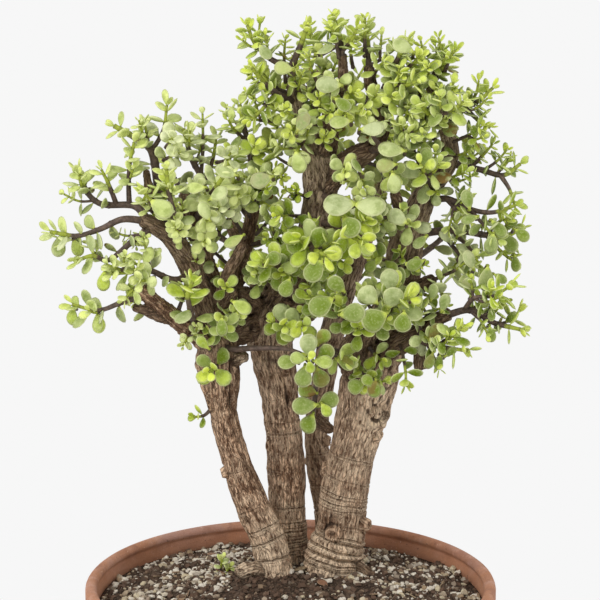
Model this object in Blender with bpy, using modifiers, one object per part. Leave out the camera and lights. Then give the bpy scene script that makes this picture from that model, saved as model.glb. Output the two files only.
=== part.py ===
"""Elephant bush bonsai in a terracotta bowl.

Four woody trunks stand in dark potting soil. Boughs fork from the trunks, and every leafy
shoot is a thin twig with opposite pairs of thick wedge-shaped leaves. Lengths are in
millimetres here and become metres where a mesh is made. The origin is the middle of the
bowl's flat foot, +Z is up and the front of the tree faces -Y.
"""

import math

import bmesh
import bpy
from mathutils import Matrix, Vector
from mathutils.bvhtree import BVHTree

MM = 0.001
GAP = 0.3  # clearance kept between pieces that touch

# The bowl
POT_RADIUS = 162.5
POT_HEIGHT = 140.0
LIP_ROLL = 6.0  # radius of the half-round lip
BAND_DEPTH = 30.0  # height of the straight band under the lip
BAND_STEP = 6.0  # how far the bowl stands in below the band
FOOT_RADIUS = 100.0
WALL = 9.0
GROOVE = 2.5  # how far the inner wall stands back under the lip
FLOOR = 12.0
BOWL_FULLNESS = 0.6  # exponent of the bowl's side: lower is rounder
TURN_STEPS = 40
DRAIN_HOLES = 3
DRAIN_RADIUS = 7.0
DRAIN_RING = 58.0

# The soil
SOIL_EDGE = 124.0  # height of the soil where it meets the wall
SOIL_CROWN = 131.0  # height of the mound round the trunks
MOUND_RADIUS = 75.0  # the mound's level top
MOUND_FOOT = 145.0  # where the mound has fallen to the soil's edge height
ROOTED = 100.0  # height of the trunks' buried ends

# The foliage
LEAF_WIDTH = 0.8  # of the leaf's length
LEAF_THICKNESS = 3.0
PAIR_SPACING = 0.62  # of the leaf's length, along the twig
TIP_PAIR = 0.62  # size of the young pair at a twig's tip
TIP_LEAN = math.radians(58)  # how far that pair stands forward from square to the twig
LEAF_LEAN = math.radians(30)  # the same for the older pairs
LEAF_TURNS = (20, 55, -15)  # turns round the twig tried for a leaf, in degrees
LEAF_CLEARANCE = 0.8
TWIG_TAPER = 0.5  # share of its radius that a twig loses by its tip

BARK = ((0.30, 0.20, 0.14, 1), 0.85)
DARK_BARK = ((0.13, 0.085, 0.075, 1), 0.8)
LEAF = ((0.36, 0.47, 0.16, 1), 0.45)
YOUNG_LEAF = ((0.50, 0.60, 0.12, 1), 0.45)
TERRACOTTA = ((0.47, 0.20, 0.13, 1), 0.8)
SOIL = ((0.055, 0.04, 0.032, 1), 0.95)

# Each trunk and bough is a run of points along its middle: x, y, z and the radius there.
TRUNKS = {
    "trunk_left": (
        (-13, 42, ROOTED, 14.5), (-13, 42, 128, 14), (-17, 41, 152, 13), (-25, 40, 172, 14),
        (-34, 38, 194, 12.5), (-40, 36, 212, 12), (-45, 32, 230, 11), (-50, 28, 250, 11),
        (-54, 24, 271, 11), (-56, 20, 292, 14), (-58, 16, 318, 15.5), (-62, 14, 342, 10.5),
        (-69, 16, 362, 9), (-80, 13, 392, 8), (-92, 6, 412, 7), (-105, 0, 422, 6.5), (-113, -4, 427, 5.5),
    ),
    "trunk_middle": (
        (1, 78, ROOTED, 16.5), (0, 78, 128, 16), (-3, 77, 150, 14.5), (-4, 74, 182, 14.5),
        (-5, 70, 221, 15), (-8, 65, 256, 14.5), (-11, 60, 283, 15), (-16, 54, 313, 16),
        (-17, 50, 335, 17), (-11, 47, 355, 16.5), (1, 44, 372, 14), (12, 41, 388, 13),
        (18, 38, 406, 13), (21, 35, 430, 13), (23, 33, 455, 13), (18, 32, 480, 10),
        (10, 32, 499, 7.5), (1, 32, 527, 5),
    ),
    "trunk_back": (
        (34, 110, ROOTED, 10.5), (33, 110, 136, 10), (27, 107, 172, 9.5), (22, 104, 208, 9.5),
        (21, 100, 243, 9.5),
        (28, 94, 288, 9.5), (36, 92, 330, 9), (46, 98, 357, 8), (62, 114, 398, 6.5), (76, 126, 440, 4.5),
    ),
    "trunk_right": (
        (34, 50, ROOTED, 25), (34, 50, 126, 23.5), (36, 50, 147, 21), (40, 50, 168, 19),
        (42, 49, 194, 18.5), (48, 47, 225, 18.5), (52, 45, 245, 19.5), (57, 43, 265, 20.5),
        (61, 41, 288, 20.5), (68, 40, 310, 18.5), (77, 41, 333, 14.5), (86, 42, 362, 13),
        (90, 41, 392, 13), (95, 39, 415, 12), (106, 38, 442, 9.5), (123, 38, 468, 7.5),
        (122, 36, 490, 6), (113, 34, 511, 4.5), (107, 34, 528, 3.5),
    ),
}
BOUGHS = {
    "bough_left_low": (
        (-57, 14, 322, 10), (-72, 6, 336, 9), (-86, 0, 347, 8.5), (-98, -8, 359, 7.5),
        (-108, -14, 369, 7), (-116, -18, 376, 6),
    ),
    "bough_left_inner": (
        (-58, 16, 325, 8.5), (-56, 32, 345, 7.5), (-60, 38, 365, 7), (-66, 38, 386, 6.5),
        (-71, 36, 404, 6.5), (-76, 32, 422, 6.5), (-79, 30, 438, 6),
    ),
    "bough_left_back": (
        (-53, 18, 318, 7), (-46, 44, 345, 6.5), (-46, 54, 366, 6), (-42, 54, 382, 6),
        (-36, 54, 400, 5.5), (-32, 52, 416, 5), (-29, 52, 432, 4.5),
    ),
    "bough_crown_mid": (
        (21, 30, 470, 7.5), (31, 24, 493, 6), (37, 22, 513, 5), (40, 22, 533, 4), (40, 22, 551, 3),
    ),
    "bough_crown_right": (
        (23, 32, 452, 9.5), (48, 30, 469, 9), (63, 32, 478, 7.5), (71, 34, 493, 6),
        (68, 34, 511, 5), (62, 34, 527, 4.5), (60, 34, 541, 3.5),
    ),
    "bough_crown_rear": (
        (21, 36, 436, 8.5), (27, 62, 462, 7.5), (32, 84, 488, 6.5), (29, 98, 512, 5), (24, 104, 533, 4),
    ),
    "bough_right_low": (
        (67, 38, 308, 9.5), (81, 12, 326, 7.5), (96, 4, 337, 6.5), (109, 0, 346, 5.5), (122, -2, 354, 5),
    ),
    "bough_front": (
        (59, 40, 290, 10), (46, 10, 319, 9), (54, 2, 336, 8), (66, -6, 347, 7), (75, -10, 360, 5.5),
    ),
    "bough_rear_left": (
        (-17, 52, 330, 9.5), (-26, 80, 362, 8), (-38, 102, 384, 6.5), (-49, 116, 406, 5),
    ),
}
ROOTS = {
    "root_left": ((-12, 40, 133, 8), (-31, 32, 133, 6.5), (-43, 27, 131, 5.5), (-54, 22, 124, 3.5)),
    "root_right": ((44, 46, 139, 10), (58, 39, 134, 7.5), (70, 35, 128, 5), (82, 31, 122, 3)),
}

# Each leafy shoot is its twigs: the route from the bough, the radius at its start, the
# number of leaf pairs and the leaves' length. The first twig carries the others.
SHOOTS = {
    "shoot_left_low": (
        (((-110, -15, 371), (-129, -22, 366), (-146, -26, 361), (-165, -29, 366)), 2.6, 3, 17),
    ),
    "shoot_left_reach": (
        (((-76, 14, 380), (-91, 0, 380), (-108, -10, 389), (-122, -18, 389), (-135, -24, 389)), 3, 3, 16),
        (((-107, -10, 388), (-112, -22, 394), (-119, -28, 398)), 2, 1, 16),
    ),
    "shoot_left_mid": (
        (
            ((-104, 0, 422), (-122, -10, 410), (-138, -16, 398), (-150, -20, 402), (-161, -24, 399)),
            2.8, 3, 15,
        ),
    ),
    "shoot_left_tip": (
        (((-110, -3, 426), (-128, -8, 428), (-145, -12, 421), (-162, -18, 417), (-181, -24, 421)), 3, 3, 17),
    ),
    "shoot_left_up": (
        (((-108, -1, 424), (-120, 8, 436), (-146, 12, 437), (-159, 14, 449), (-164, 16, 463)), 3.4, 3, 14),
        (((-134, 10, 437), (-139, 4, 453), (-144, 0, 465)), 2.2, 2, 15),
        (((-124, 9, 436), (-124, 6, 456), (-122, 2, 472), (-119, 0, 486)), 2.2, 2, 15),
    ),
    "shoot_left_front": (
        (((-86, 10, 403), (-88, -12, 430), (-92, -20, 452), (-93, -22, 468)), 3, 3, 14),
        (((-88, -12, 430), (-101, -19, 440), (-112, -22, 452)), 2, 2, 14),
    ),
    "shoot_left_top": (
        (((-92, 6, 411), (-101, 14, 444), (-107, 18, 477), (-120, 16, 488), (-135, 14, 497)), 4.2, 2, 15),
        (((-107, 18, 477), (-98, 20, 493), (-95, 22, 512)), 2.2, 2, 18),
    ),
    "shoot_left_rear": (
        (((-78, 30, 434), (-90, 52, 448), (-100, 70, 464)), 3, 3, 15),
    ),
    "shoot_inner_top": (
        (((-78, 31, 430), (-68, 30, 450), (-77, 30, 470), (-83, 30, 493)), 3.4, 2, 15),
        (((-68, 30, 450), (-61, 36, 468), (-58, 38, 485)), 2.2, 2, 15),
    ),
    "shoot_inner_front": (
        (((-76, 33, 420), (-66, 6, 437), (-57, -8, 452), (-49, -14, 464)), 3, 3, 18),
        (((-66, 6, 437), (-64, -12, 428)), 2, 1, 18),
    ),
    "shoot_left_base": (
        (((-71, 7, 335), (-75, -14, 353), (-78, -24, 372), (-74, -28, 383)), 3, 3, 18),
    ),
    "shoot_left_trunk": (
        (((-58, 14, 310), (-59, -8, 312), (-62, -20, 312)), 2.4, 2, 16),
    ),
    "shoot_mid_high": (
        (((-30, 52, 428), (-29, 50, 452), (-34, 48, 481), (-40, 46, 510)), 3.6, 3, 15),
        (((-30, 50, 459), (-22, 42, 474), (-14, 38, 484)), 2.2, 1, 18),
        (((-29, 51, 440), (-26, 28, 438), (-14, 12, 434)), 2.2, 2, 15),
    ),
    "shoot_mid_front": (
        (((8, 42, 382), (-4, 4, 389), (-15, -22, 396), (-22, -30, 400)), 3, 3, 17),
    ),
    "shoot_centre_band": (
        (((18, 38, 403), (16, -10, 407), (21, -34, 407), (26, -42, 406)), 3, 3, 18),
        (((16, -10, 407), (6, -30, 416)), 2, 1, 18),
    ),
    "shoot_cross": (
        (((-58, 14, 328), (-46, 2, 325), (-26, -4, 327), (-4, -16, 329), (12, -44, 330)), 3, 3, 20),
    ),
    "shoot_hanging": (
        (((47, 12, 316), (30, -14, 326), (21, -24, 310), (18, -26, 286), (17, -26, 272)), 3, 3, 19),
    ),
    "shoot_centre_yellow": (
        (((21, 36, 420), (38, -12, 422), (49, -38, 418), (54, -48, 416)), 2.8, 2, 17),
        (((39, -15, 422), (54, -32, 432)), 2, 2, 17),
    ),
    "shoot_centre_pale": (
        (((22, 34, 441), (36, -12, 444), (44, -30, 448)), 2.8, 2, 22),
    ),
    "shoot_crown_pale": (
        (((60, 32, 476), (70, 2, 480), (78, -14, 478)), 3, 2, 20),
        (((70, 3, 480), (61, -16, 494), (57, -22, 502)), 2.2, 2, 19),
    ),
    "shoot_crown_left": (
        (((1, 32, 522), (1, 29, 540), (7, 25, 556), (13, 22, 573)), 3.6, 3, 14),
        (((1, 29, 540), (-15, 26, 547), (-27, 22, 559), (-33, 20, 573)), 2.6, 3, 14),
    ),
    "shoot_crown_side": (
        (((5, 32, 513), (-12, 14, 523), (-22, 8, 533), (-29, 4, 542)), 2.8, 3, 14),
        (((-11, 15, 522), (-22, 4, 510), (-30, 0, 503)), 2, 2, 14),
    ),
    "shoot_crown_top": (
        (((40, 22, 545), (38, 18, 562), (34, 15, 577)), 2.6, 3, 15),
        (((39, 20, 553), (46, 10, 562), (50, 6, 571)), 1.8, 1, 14),
    ),
    "shoot_crown_top_right": (
        (((60, 34, 536), (60, 37, 555), (58, 39, 571)), 2.6, 3, 15),
    ),
    "shoot_crown_right": (
        (((69, 34, 508), (74, 26, 530), (82, 20, 548), (88, 16, 563)), 3.2, 3, 15),
        (((74, 26, 530), (86, 10, 528), (96, 2, 532)), 2.2, 2, 15),
    ),
    "shoot_right_crest": (
        (((107, 34, 522), (115, 34, 536), (124, 32, 551)), 2.6, 3, 14),
    ),
    "shoot_right_shoulder": (
        (((120, 36, 497), (135, 30, 509), (146, 26, 516), (155, 24, 525)), 2.8, 3, 15),
        (((135, 30, 509), (145, 22, 500), (153, 18, 495)), 2, 1, 15),
    ),
    "shoot_right_high": (
        (((120, 38, 466), (147, 34, 461), (165, 30, 457), (178, 28, 466)), 3, 2, 15),
        (((163, 30, 457), (170, 26, 446), (174, 24, 433)), 2, 2, 15),
    ),
    "shoot_right_mid_high": (
        (((102, 38, 432), (120, 20, 440), (138, 12, 433), (155, 8, 431), (172, 4, 437)), 3, 3, 16),
    ),
    "shoot_right_mid": (
        (((93, 40, 408), (127, 42, 412), (154, 42, 408), (171, 42, 408), (182, 42, 415)), 3.4, 2, 16),
        (((154, 42, 408), (164, 36, 397), (174, 32, 389)), 2, 2, 15),
    ),
    "shoot_right_low": (
        (((119, -2, 352), (138, -5, 357), (156, -9, 348), (169, -12, 345), (179, -14, 343)), 3, 3, 14),
        (((133, -4, 356), (140, -18, 369), (154, -25, 372), (167, -29, 381)), 2.2, 2, 16),
    ),
    "shoot_right_under": (
        (((94, 5, 335), (105, -12, 332), (120, -22, 331), (135, -28, 330)), 2.8, 3, 15),
        (((112, -17, 331), (122, -31, 342), (129, -36, 350)), 2, 1, 14),
    ),
    "shoot_front_right": (
        (((72, -9, 356), (78, -26, 366), (89, -38, 373)), 2.8, 3, 19),
    ),
    "shoot_right_inner": (
        (((108, 38, 445), (103, 4, 460), (98, -18, 471)), 2.8, 3, 18),
    ),
    "shoot_right_centre": (
        (((120, 36, 494), (108, 8, 504), (99, -6, 514)), 2.6, 2, 16),
        (((109, 10, 503), (122, -4, 511), (130, -10, 518)), 2, 2, 15),
    ),
    "shoot_right_rear": (
        (((90, 44, 384), (110, 68, 392), (128, 88, 404), (140, 98, 417)), 3, 3, 16),
    ),
    "shoot_rear_left_low": (
        (((-38, 102, 384), (-60, 112, 396), (-82, 116, 408), (-96, 118, 419)), 3, 3, 16),
        (((-60, 112, 396), (-60, 130, 404), (-64, 144, 415)), 2.2, 2, 16),
    ),
    "shoot_rear_left_high": (
        (((-47, 114, 402), (-54, 119, 436), (-50, 124, 464)), 3.2, 3, 16),
    ),
    "shoot_rear_crown": (
        (((25, 103, 529), (21, 108, 550), (14, 112, 565)), 2.8, 3, 15),
        (((22, 106, 544), (38, 114, 552), (50, 118, 561)), 2, 2, 15),
    ),
    "shoot_rear_right": (
        (((74, 124, 434), (80, 128, 466), (85, 130, 488)), 3, 3, 16),
    ),
    "shoot_rear_right_low": (
        (((56, 108, 384), (76, 124, 386), (97, 134, 393), (111, 138, 402)), 3, 3, 16),
    ),
}
SEEDLING = (
    (((-55, 49, 122), (-55, 49, 134), (-54, 47, 143)), 1.8, 2, 9),
)


def collection(name):
    """A new collection linked to the scene."""
    made = bpy.data.collections.new(name)
    bpy.context.scene.collection.children.link(made)
    return made


def material(name, finish):
    """A Principled material from a colour and a roughness."""
    colour, roughness = finish
    made = bpy.data.materials.new(name)
    made.use_nodes = True
    shader = made.node_tree.nodes["Principled BSDF"]
    shader.inputs["Base Color"].default_value = colour
    shader.inputs["Roughness"].default_value = roughness
    shader.inputs["Metallic"].default_value = 0
    made.diffuse_color = colour
    return made


def placed(name, mesh, home):
    """A mesh object in a collection."""
    piece = bpy.data.objects.new(name, mesh)
    home.objects.link(piece)
    return piece


def as_cutter(piece):
    """Marks a piece that only cuts or joins others."""
    piece.hide_render = True
    piece.display_type = "WIRE"
    return piece


def boolean(piece, other, operation):
    """Adds a Boolean of one piece with another."""
    step = piece.modifiers.new(other.name, "BOOLEAN")
    step.operation = operation
    step.object = other


def tube(name, points, home, sides=8, grow=0.0):
    """A closed tube through points of x, y, z and radius. Growing it widens and lengthens it."""
    route = [Vector(point[:3]) for point in points]
    route[0] += (route[0] - route[1]).normalized() * grow
    route[-1] += (route[-1] - route[-2]).normalized() * grow
    data = bpy.data.curves.new(name, "CURVE")
    data.dimensions = "3D"
    data.bevel_depth = MM
    data.bevel_resolution = sides // 2 - 2
    data.use_fill_caps = True
    spline = data.splines.new("POLY")
    spline.points.add(len(points) - 1)
    for knot, place, point in zip(spline.points, route, points):
        knot.co = (*(place * MM), 1)
        knot.radius = point[3] + grow
    curve = bpy.data.objects.new(name + "_curve", data)
    home.objects.link(curve)
    seen = curve.evaluated_get(bpy.context.evaluated_depsgraph_get())
    mesh = bpy.data.meshes.new_from_object(seen)
    mesh.name = name
    shell = bmesh.new()
    shell.from_mesh(mesh)
    bmesh.ops.remove_doubles(shell, verts=shell.verts, dist=0.01 * MM)
    bmesh.ops.recalc_face_normals(shell, faces=shell.faces)
    shell.to_mesh(mesh)
    shell.free()
    piece = placed(name, mesh, home)
    piece.matrix_world = curve.matrix_world
    bpy.data.objects.remove(curve)
    return piece


def turned(name, outline, home):
    """A turned solid from an outline of radius and height that runs down its outer side."""
    mesh = bpy.data.meshes.new(name)
    profile = bmesh.new()
    corners = [profile.verts.new((radius * MM, 0, height * MM)) for radius, height in outline]
    for start, end in zip(corners, corners[1:]):
        profile.edges.new((start, end))
    if outline[0][0] > 0:
        profile.edges.new((corners[-1], corners[0]))
    profile.to_mesh(mesh)
    profile.free()
    piece = placed(name, mesh, home)
    screw = piece.modifiers.new("turn", "SCREW")
    screw.steps = TURN_STEPS
    screw.render_steps = TURN_STEPS
    screw.use_merge_vertices = True
    screw.merge_threshold = 0.00001
    return piece


def bowl_radius(height):
    """Outer radius of the bowl below its band."""
    top = POT_HEIGHT - LIP_ROLL - BAND_DEPTH
    rise = POT_RADIUS - BAND_STEP - FOOT_RADIUS
    return FOOT_RADIUS + rise * min(height / top, 1) ** BOWL_FULLNESS


def wall_inside(clearance=0.0):
    """The bowl's inner wall from the soil line down to its floor, drawn in by a clearance."""
    line = [(POT_RADIUS - LIP_ROLL * 2 + GROOVE - clearance, SOIL_EDGE)]
    for height in (104, 68, 36, FLOOR + 1):
        line.append((bowl_radius(height) - WALL - clearance, height))
    line.append((line[-1][0] - 3, FLOOR + clearance))
    return line


def pot(home, cutters):
    """The bowl: rolled lip, straight band, rounded side and a flat foot with drain holes."""
    lip_middle = POT_RADIUS - LIP_ROLL
    lip_height = POT_HEIGHT - LIP_ROLL
    turns = [math.radians(angle) for angle in range(180, -1, -36)]
    lip = [(lip_middle + LIP_ROLL * math.cos(turn), lip_height + LIP_ROLL * math.sin(turn)) for turn in turns]
    band_foot = lip_height - BAND_DEPTH
    band = [(POT_RADIUS - 1.5, band_foot + 3), (POT_RADIUS - 3.5, band_foot)]
    side = [(bowl_radius(height), height) for height in (band_foot - 1, 68, 36, 12)]
    foot = [(FOOT_RADIUS, 0), (0, 0), (0, FLOOR)]
    inside = wall_inside()[::-1]
    groove = [(lip[0][0] + GROOVE, lip_height - 3)]
    piece = turned("pot", lip + band + side + foot + inside + groove, home)
    for number in range(DRAIN_HOLES):
        turn = math.tau * (number + 0.25) / DRAIN_HOLES
        drill = bmesh.new()
        place = Vector((math.cos(turn), math.sin(turn), 0)) * DRAIN_RING * MM
        bmesh.ops.create_cone(
            drill,
            cap_ends=True,
            segments=12,
            radius1=DRAIN_RADIUS * MM,
            radius2=DRAIN_RADIUS * MM,
            depth=FLOOR * 3 * MM,
            matrix=Matrix.Translation(place),
        )
        mesh = bpy.data.meshes.new("drain_drill")
        drill.to_mesh(mesh)
        drill.free()
        boolean(piece, as_cutter(placed(f"drain_drill_{number + 1}", mesh, cutters)), "DIFFERENCE")
    return piece


def soil_height(radius):
    """Height of the soil: a low mound that falls away to the wall."""
    fall = (radius - MOUND_RADIUS) / (MOUND_FOOT - MOUND_RADIUS)
    return SOIL_CROWN - (SOIL_CROWN - SOIL_EDGE) * min(1.0, max(0.0, fall))


def soil(home):
    """The potting soil, which fills the bowl and mounds round the trunks."""
    top = [(radius, soil_height(radius)) for radius in (0, MOUND_RADIUS, MOUND_FOOT)]
    side = wall_inside(GAP * 1.4)
    return turned("soil", top + side + [(0, side[-1][1])], home)


def surface_of(pieces):
    """A search tree of the surfaces of some mesh objects."""
    corners = []
    faces = []
    for piece in pieces:
        start = len(corners)
        corners += [vertex.co for vertex in piece.data.vertices]
        faces += [[start + index for index in face.vertices] for face in piece.data.polygons]
    return BVHTree.FromPolygons(corners, faces)


def meet(piece, others):
    """The others whose surfaces a piece's surface crosses."""
    mine = surface_of([piece])
    return [other for other in others if mine.overlap(surface_of([other]))]


def woodwork(home, cutters):
    """Trunks, boughs and roots, each cut back where it meets one made before it."""
    made = []
    grown = []
    for group, sides in ((TRUNKS, 12), (BOUGHS, 8), (ROOTS, 8)):
        for name, points in group.items():
            piece = tube(name, points, home, sides)
            for cutter in meet(piece, grown):
                boolean(piece, cutter, "DIFFERENCE")
            made.append(piece)
            grown.append(as_cutter(tube(f"around_{name}", points, cutters, sides, GAP)))
    return made, grown


def twig_points(route, start_radius):
    """A twig's points with a radius that tapers to its tip."""
    last = len(route) - 1
    return [(*place, start_radius * (1 - TWIG_TAPER * step / last)) for step, place in enumerate(route)]


def point_along(route, from_tip):
    """The place and the direction on a route at a distance back from its tip."""
    for end, start in zip(route[::-1], route[-2::-1]):
        run = Vector(end) - Vector(start)
        if from_tip <= run.length:
            return Vector(end) - run.normalized() * from_tip, run.normalized()
        from_tip -= run.length
    return None


def leaf_frame(place, growth, roll, length, lean):
    """Where a leaf sits: its length runs out of the twig and leans forward along the growth."""
    level = growth.cross(Vector((0, 0, 1)))
    if level.length < 0.2:
        level = growth.cross(Vector((0, 1, 0)))
    outward = Matrix.Rotation(roll, 3, growth) @ level.normalized()
    along = (outward * math.cos(lean) + growth * math.sin(lean)).normalized()
    face = (growth * math.cos(lean) - outward * math.sin(lean)).normalized()
    across = face.cross(along)
    turn = Matrix((across, along, face)).transposed().to_4x4()
    return Matrix.Translation(place + outward * 0.5 + along * length / 2) @ turn


def leaf_solid(frame, length, grow=0.0):
    """A thick wedge-shaped leaf: a narrow foot, full shoulders and a blunt end."""
    solid = bmesh.new()
    bmesh.ops.create_uvsphere(solid, u_segments=5, v_segments=2, radius=0.5)
    bmesh.ops.rotate(solid, verts=solid.verts, cent=(0, 0, 0), matrix=Matrix.Rotation(math.pi, 3, "Z"))
    for vertex in solid.verts:
        vertex.co.x *= 1 + 0.8 * vertex.co.y
    size = Vector((length * LEAF_WIDTH + grow * 2, length + grow * 2, LEAF_THICKNESS + grow))
    bmesh.ops.transform(solid, matrix=frame @ Matrix.Diagonal((*size, 1)), verts=solid.verts)
    bmesh.ops.scale(solid, vec=(MM, MM, MM), verts=solid.verts)
    return solid


def tree_of(solid):
    """A search tree of a leaf's surface."""
    solid.verts.ensure_lookup_table()
    return BVHTree.FromBMesh(solid)


def leaves(name, twigs, obstacles, cutters):
    """All leaves of a shoot in one mesh. A leaf that would touch something is turned, or left off."""
    bunch = bmesh.new()
    held = []
    for route, _, pairs, length in twigs:
        for pair in range(pairs):
            spot = point_along(route, 1 + pair * PAIR_SPACING * length)
            if spot is None:
                continue
            lean = TIP_LEAN if pair == 0 else LEAF_LEAN
            size = length * (TIP_PAIR if pair == 0 else 1)
            for side in range(2):
                for turn in LEAF_TURNS:
                    roll = math.pi * side + math.pi / 2 * (pair % 2) + math.radians(turn)
                    frame = leaf_frame(*spot, roll, size, lean)
                    room = tree_of(leaf_solid(frame, size, LEAF_CLEARANCE))
                    if any(room.overlap(other) for other in obstacles + held):
                        continue
                    solid = leaf_solid(frame, size)
                    held.append(tree_of(solid))
                    mesh = bpy.data.meshes.new("leaf")
                    solid.to_mesh(mesh)
                    solid.free()
                    bunch.from_mesh(mesh)
                    bpy.data.meshes.remove(mesh)
                    break
    mesh = bpy.data.meshes.new(name + "_leaves")
    bunch.to_mesh(mesh)
    bunch.free()
    return as_cutter(placed(name + "_leaves", mesh, cutters)), held


def shoots(home, cutters, grown, bed):
    """Every leafy shoot: its twigs joined, cut back from the wood, with its leaves joined on."""
    plans = {**SHOOTS, "seedling": SEEDLING}
    stems = {}
    for name, twigs in plans.items():
        stems[name] = []
        for number, (route, radius, _, _) in enumerate(twigs):
            label = name if number == 0 else f"{name}_side_{number}"
            stems[name].append(tube(label, twig_points(route, radius), home if number == 0 else cutters, 6))
    standing = [surface_of([cutter]) for cutter in grown + [bed]]
    made = []
    taken = []
    for name, twigs in plans.items():
        stem, *side_twigs = stems[name]
        for twig in side_twigs:
            boolean(stem, as_cutter(twig), "UNION")
        for cutter in meet(stem, grown):
            boolean(stem, cutter, "DIFFERENCE")
        others = [surface_of(group) for other, group in stems.items() if other != name]
        bunch, held = leaves(name, twigs, standing + others + taken, cutters)
        boolean(stem, bunch, "UNION")
        taken += held
        made.append(stem)
    return made


def finish(pieces, look):
    """Gives pieces their material and smooth shading with crisp edges."""
    for piece in pieces:
        piece.data.materials.append(look)
        piece.data.shade_smooth()


def main():
    for old in list(bpy.data.objects):
        bpy.data.objects.remove(old)
    home = collection("elephant_bush_bonsai")
    cutters = collection("cutters")
    bowl = pot(home, cutters)
    ground = soil(home)
    wood, grown = woodwork(home, cutters)
    bed_route = ((0, 0, FLOOR, MOUND_FOOT), (0, 0, SOIL_CROWN, MOUND_FOOT))
    bed = as_cutter(tube("soil_bed", bed_route, cutters, 24))
    green = shoots(home, cutters, grown, bed)
    route, radius, _, _ = SEEDLING[0]
    socket = as_cutter(tube("around_seedling", twig_points(route, radius), cutters, 6, GAP))
    for cutter in meet(bed, grown) + [socket]:
        boolean(ground, cutter, "DIFFERENCE")
    finish([bowl], material("terracotta", TERRACOTTA))
    finish([ground], material("soil", SOIL))
    finish([piece for piece in wood if not piece.name.startswith("bough")], material("bark", BARK))
    finish([piece for piece in wood if piece.name.startswith("bough")], material("dark_bark", DARK_BARK))
    finish([piece for piece in green if piece.name != "seedling"], material("leaf", LEAF))
    finish([piece for piece in green if piece.name == "seedling"], material("young_leaf", YOUNG_LEAF))
    for piece in home.objects:
        if piece.type == "MESH":
            piece.data.set_sharp_from_angle(angle=math.radians(40))


if __name__ == "__main__":
    main()
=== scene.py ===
"""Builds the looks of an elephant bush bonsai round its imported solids.

Each trunk with its boughs is one continuous skin of wood with its bark, every leafy shoot is
twigs with pairs of fleshy leaves, and the terracotta bowl holds gritty potting soil. It is run
as a script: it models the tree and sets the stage. Lengths in the lists of
routes are in millimetres and become metres where a line is drawn.
"""

import itertools
import math
import random

import bpy
import numpy as np
from bpy.props import FloatProperty, FloatVectorProperty, IntProperty, PointerProperty
from mathutils import Euler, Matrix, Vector


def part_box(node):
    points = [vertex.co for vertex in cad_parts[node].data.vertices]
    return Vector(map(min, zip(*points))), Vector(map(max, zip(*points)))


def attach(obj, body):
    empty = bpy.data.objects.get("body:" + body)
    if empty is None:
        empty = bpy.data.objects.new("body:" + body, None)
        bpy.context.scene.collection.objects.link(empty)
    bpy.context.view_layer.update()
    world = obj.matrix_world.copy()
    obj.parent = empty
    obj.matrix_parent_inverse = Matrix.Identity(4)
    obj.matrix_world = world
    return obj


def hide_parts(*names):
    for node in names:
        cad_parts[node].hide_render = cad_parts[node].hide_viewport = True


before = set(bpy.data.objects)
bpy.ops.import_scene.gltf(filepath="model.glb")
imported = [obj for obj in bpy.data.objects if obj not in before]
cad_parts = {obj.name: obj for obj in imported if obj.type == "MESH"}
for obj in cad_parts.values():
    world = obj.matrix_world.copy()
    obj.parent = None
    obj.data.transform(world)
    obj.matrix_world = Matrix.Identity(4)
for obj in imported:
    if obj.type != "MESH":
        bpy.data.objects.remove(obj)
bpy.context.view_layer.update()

bl_info = {
    "name": "Elephant Bush Bonsai",
    "version": (1, 0, 0),
    "blender": (4, 5, 0),
    "location": "3D View > Sidebar > Bonsai",
    "description": "Models an elephant bush bonsai in a terracotta bowl, with its stage",
    "category": "Add Mesh",
}

MM = 0.001
POT_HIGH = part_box("pot")[1]
SOIL_LOW, SOIL_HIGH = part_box("soil")
BODY = "root"

# A trunk or bough is a run of points along its middle: x, y, z and the radius there.
ROOTED = 112.0  # height of the ends that the soil hides
TRUNKS = {
    "trunk_left": (
        (-13, 42, ROOTED, 14.5), (-13, 42, 128, 14), (-17, 41, 152, 13), (-25, 40, 172, 14),
        (-34, 38, 194, 12.5), (-40, 36, 212, 12), (-45, 32, 230, 11), (-50, 28, 250, 11),
        (-54, 24, 271, 11), (-56, 20, 292, 14), (-58, 16, 318, 15.5), (-62, 14, 342, 10.5),
        (-69, 16, 362, 9), (-80, 13, 392, 8), (-92, 6, 412, 7), (-105, 0, 422, 6.5), (-113, -4, 427, 5.5),
    ),
    "trunk_middle": (
        (1, 78, ROOTED, 16.5), (0, 78, 128, 16), (-3, 77, 150, 14.5), (-4, 74, 182, 14.5),
        (-5, 70, 221, 15), (-8, 65, 256, 14.5), (-11, 60, 283, 15), (-16, 54, 313, 16),
        (-17, 50, 335, 17), (-11, 47, 355, 16.5), (1, 44, 372, 14), (12, 41, 388, 13),
        (18, 38, 406, 13), (21, 35, 430, 13), (23, 33, 455, 13), (18, 32, 480, 10),
        (10, 32, 499, 7.5), (1, 32, 527, 5),
    ),
    "trunk_back": (
        (34, 110, ROOTED, 10.5), (33, 110, 136, 10), (27, 107, 172, 9.5), (22, 104, 208, 9.5),
        (21, 100, 243, 9.5),
        (28, 94, 288, 9.5), (36, 92, 330, 9), (46, 98, 357, 8), (62, 114, 398, 6.5), (76, 126, 440, 4.5),
    ),
    "trunk_right": (
        (34, 50, ROOTED, 25), (34, 50, 126, 23.5), (36, 50, 147, 21), (40, 50, 168, 19),
        (42, 49, 194, 18.5), (48, 47, 225, 18.5), (52, 45, 245, 19.5), (57, 43, 265, 20.5),
        (61, 41, 288, 20.5), (68, 40, 310, 18.5), (77, 41, 333, 14.5), (86, 42, 362, 13),
        (90, 41, 392, 13), (95, 39, 415, 12), (106, 38, 442, 9.5), (123, 38, 468, 7.5),
        (122, 36, 490, 6), (113, 34, 511, 4.5), (107, 34, 528, 3.5),
    ),
}
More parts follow.
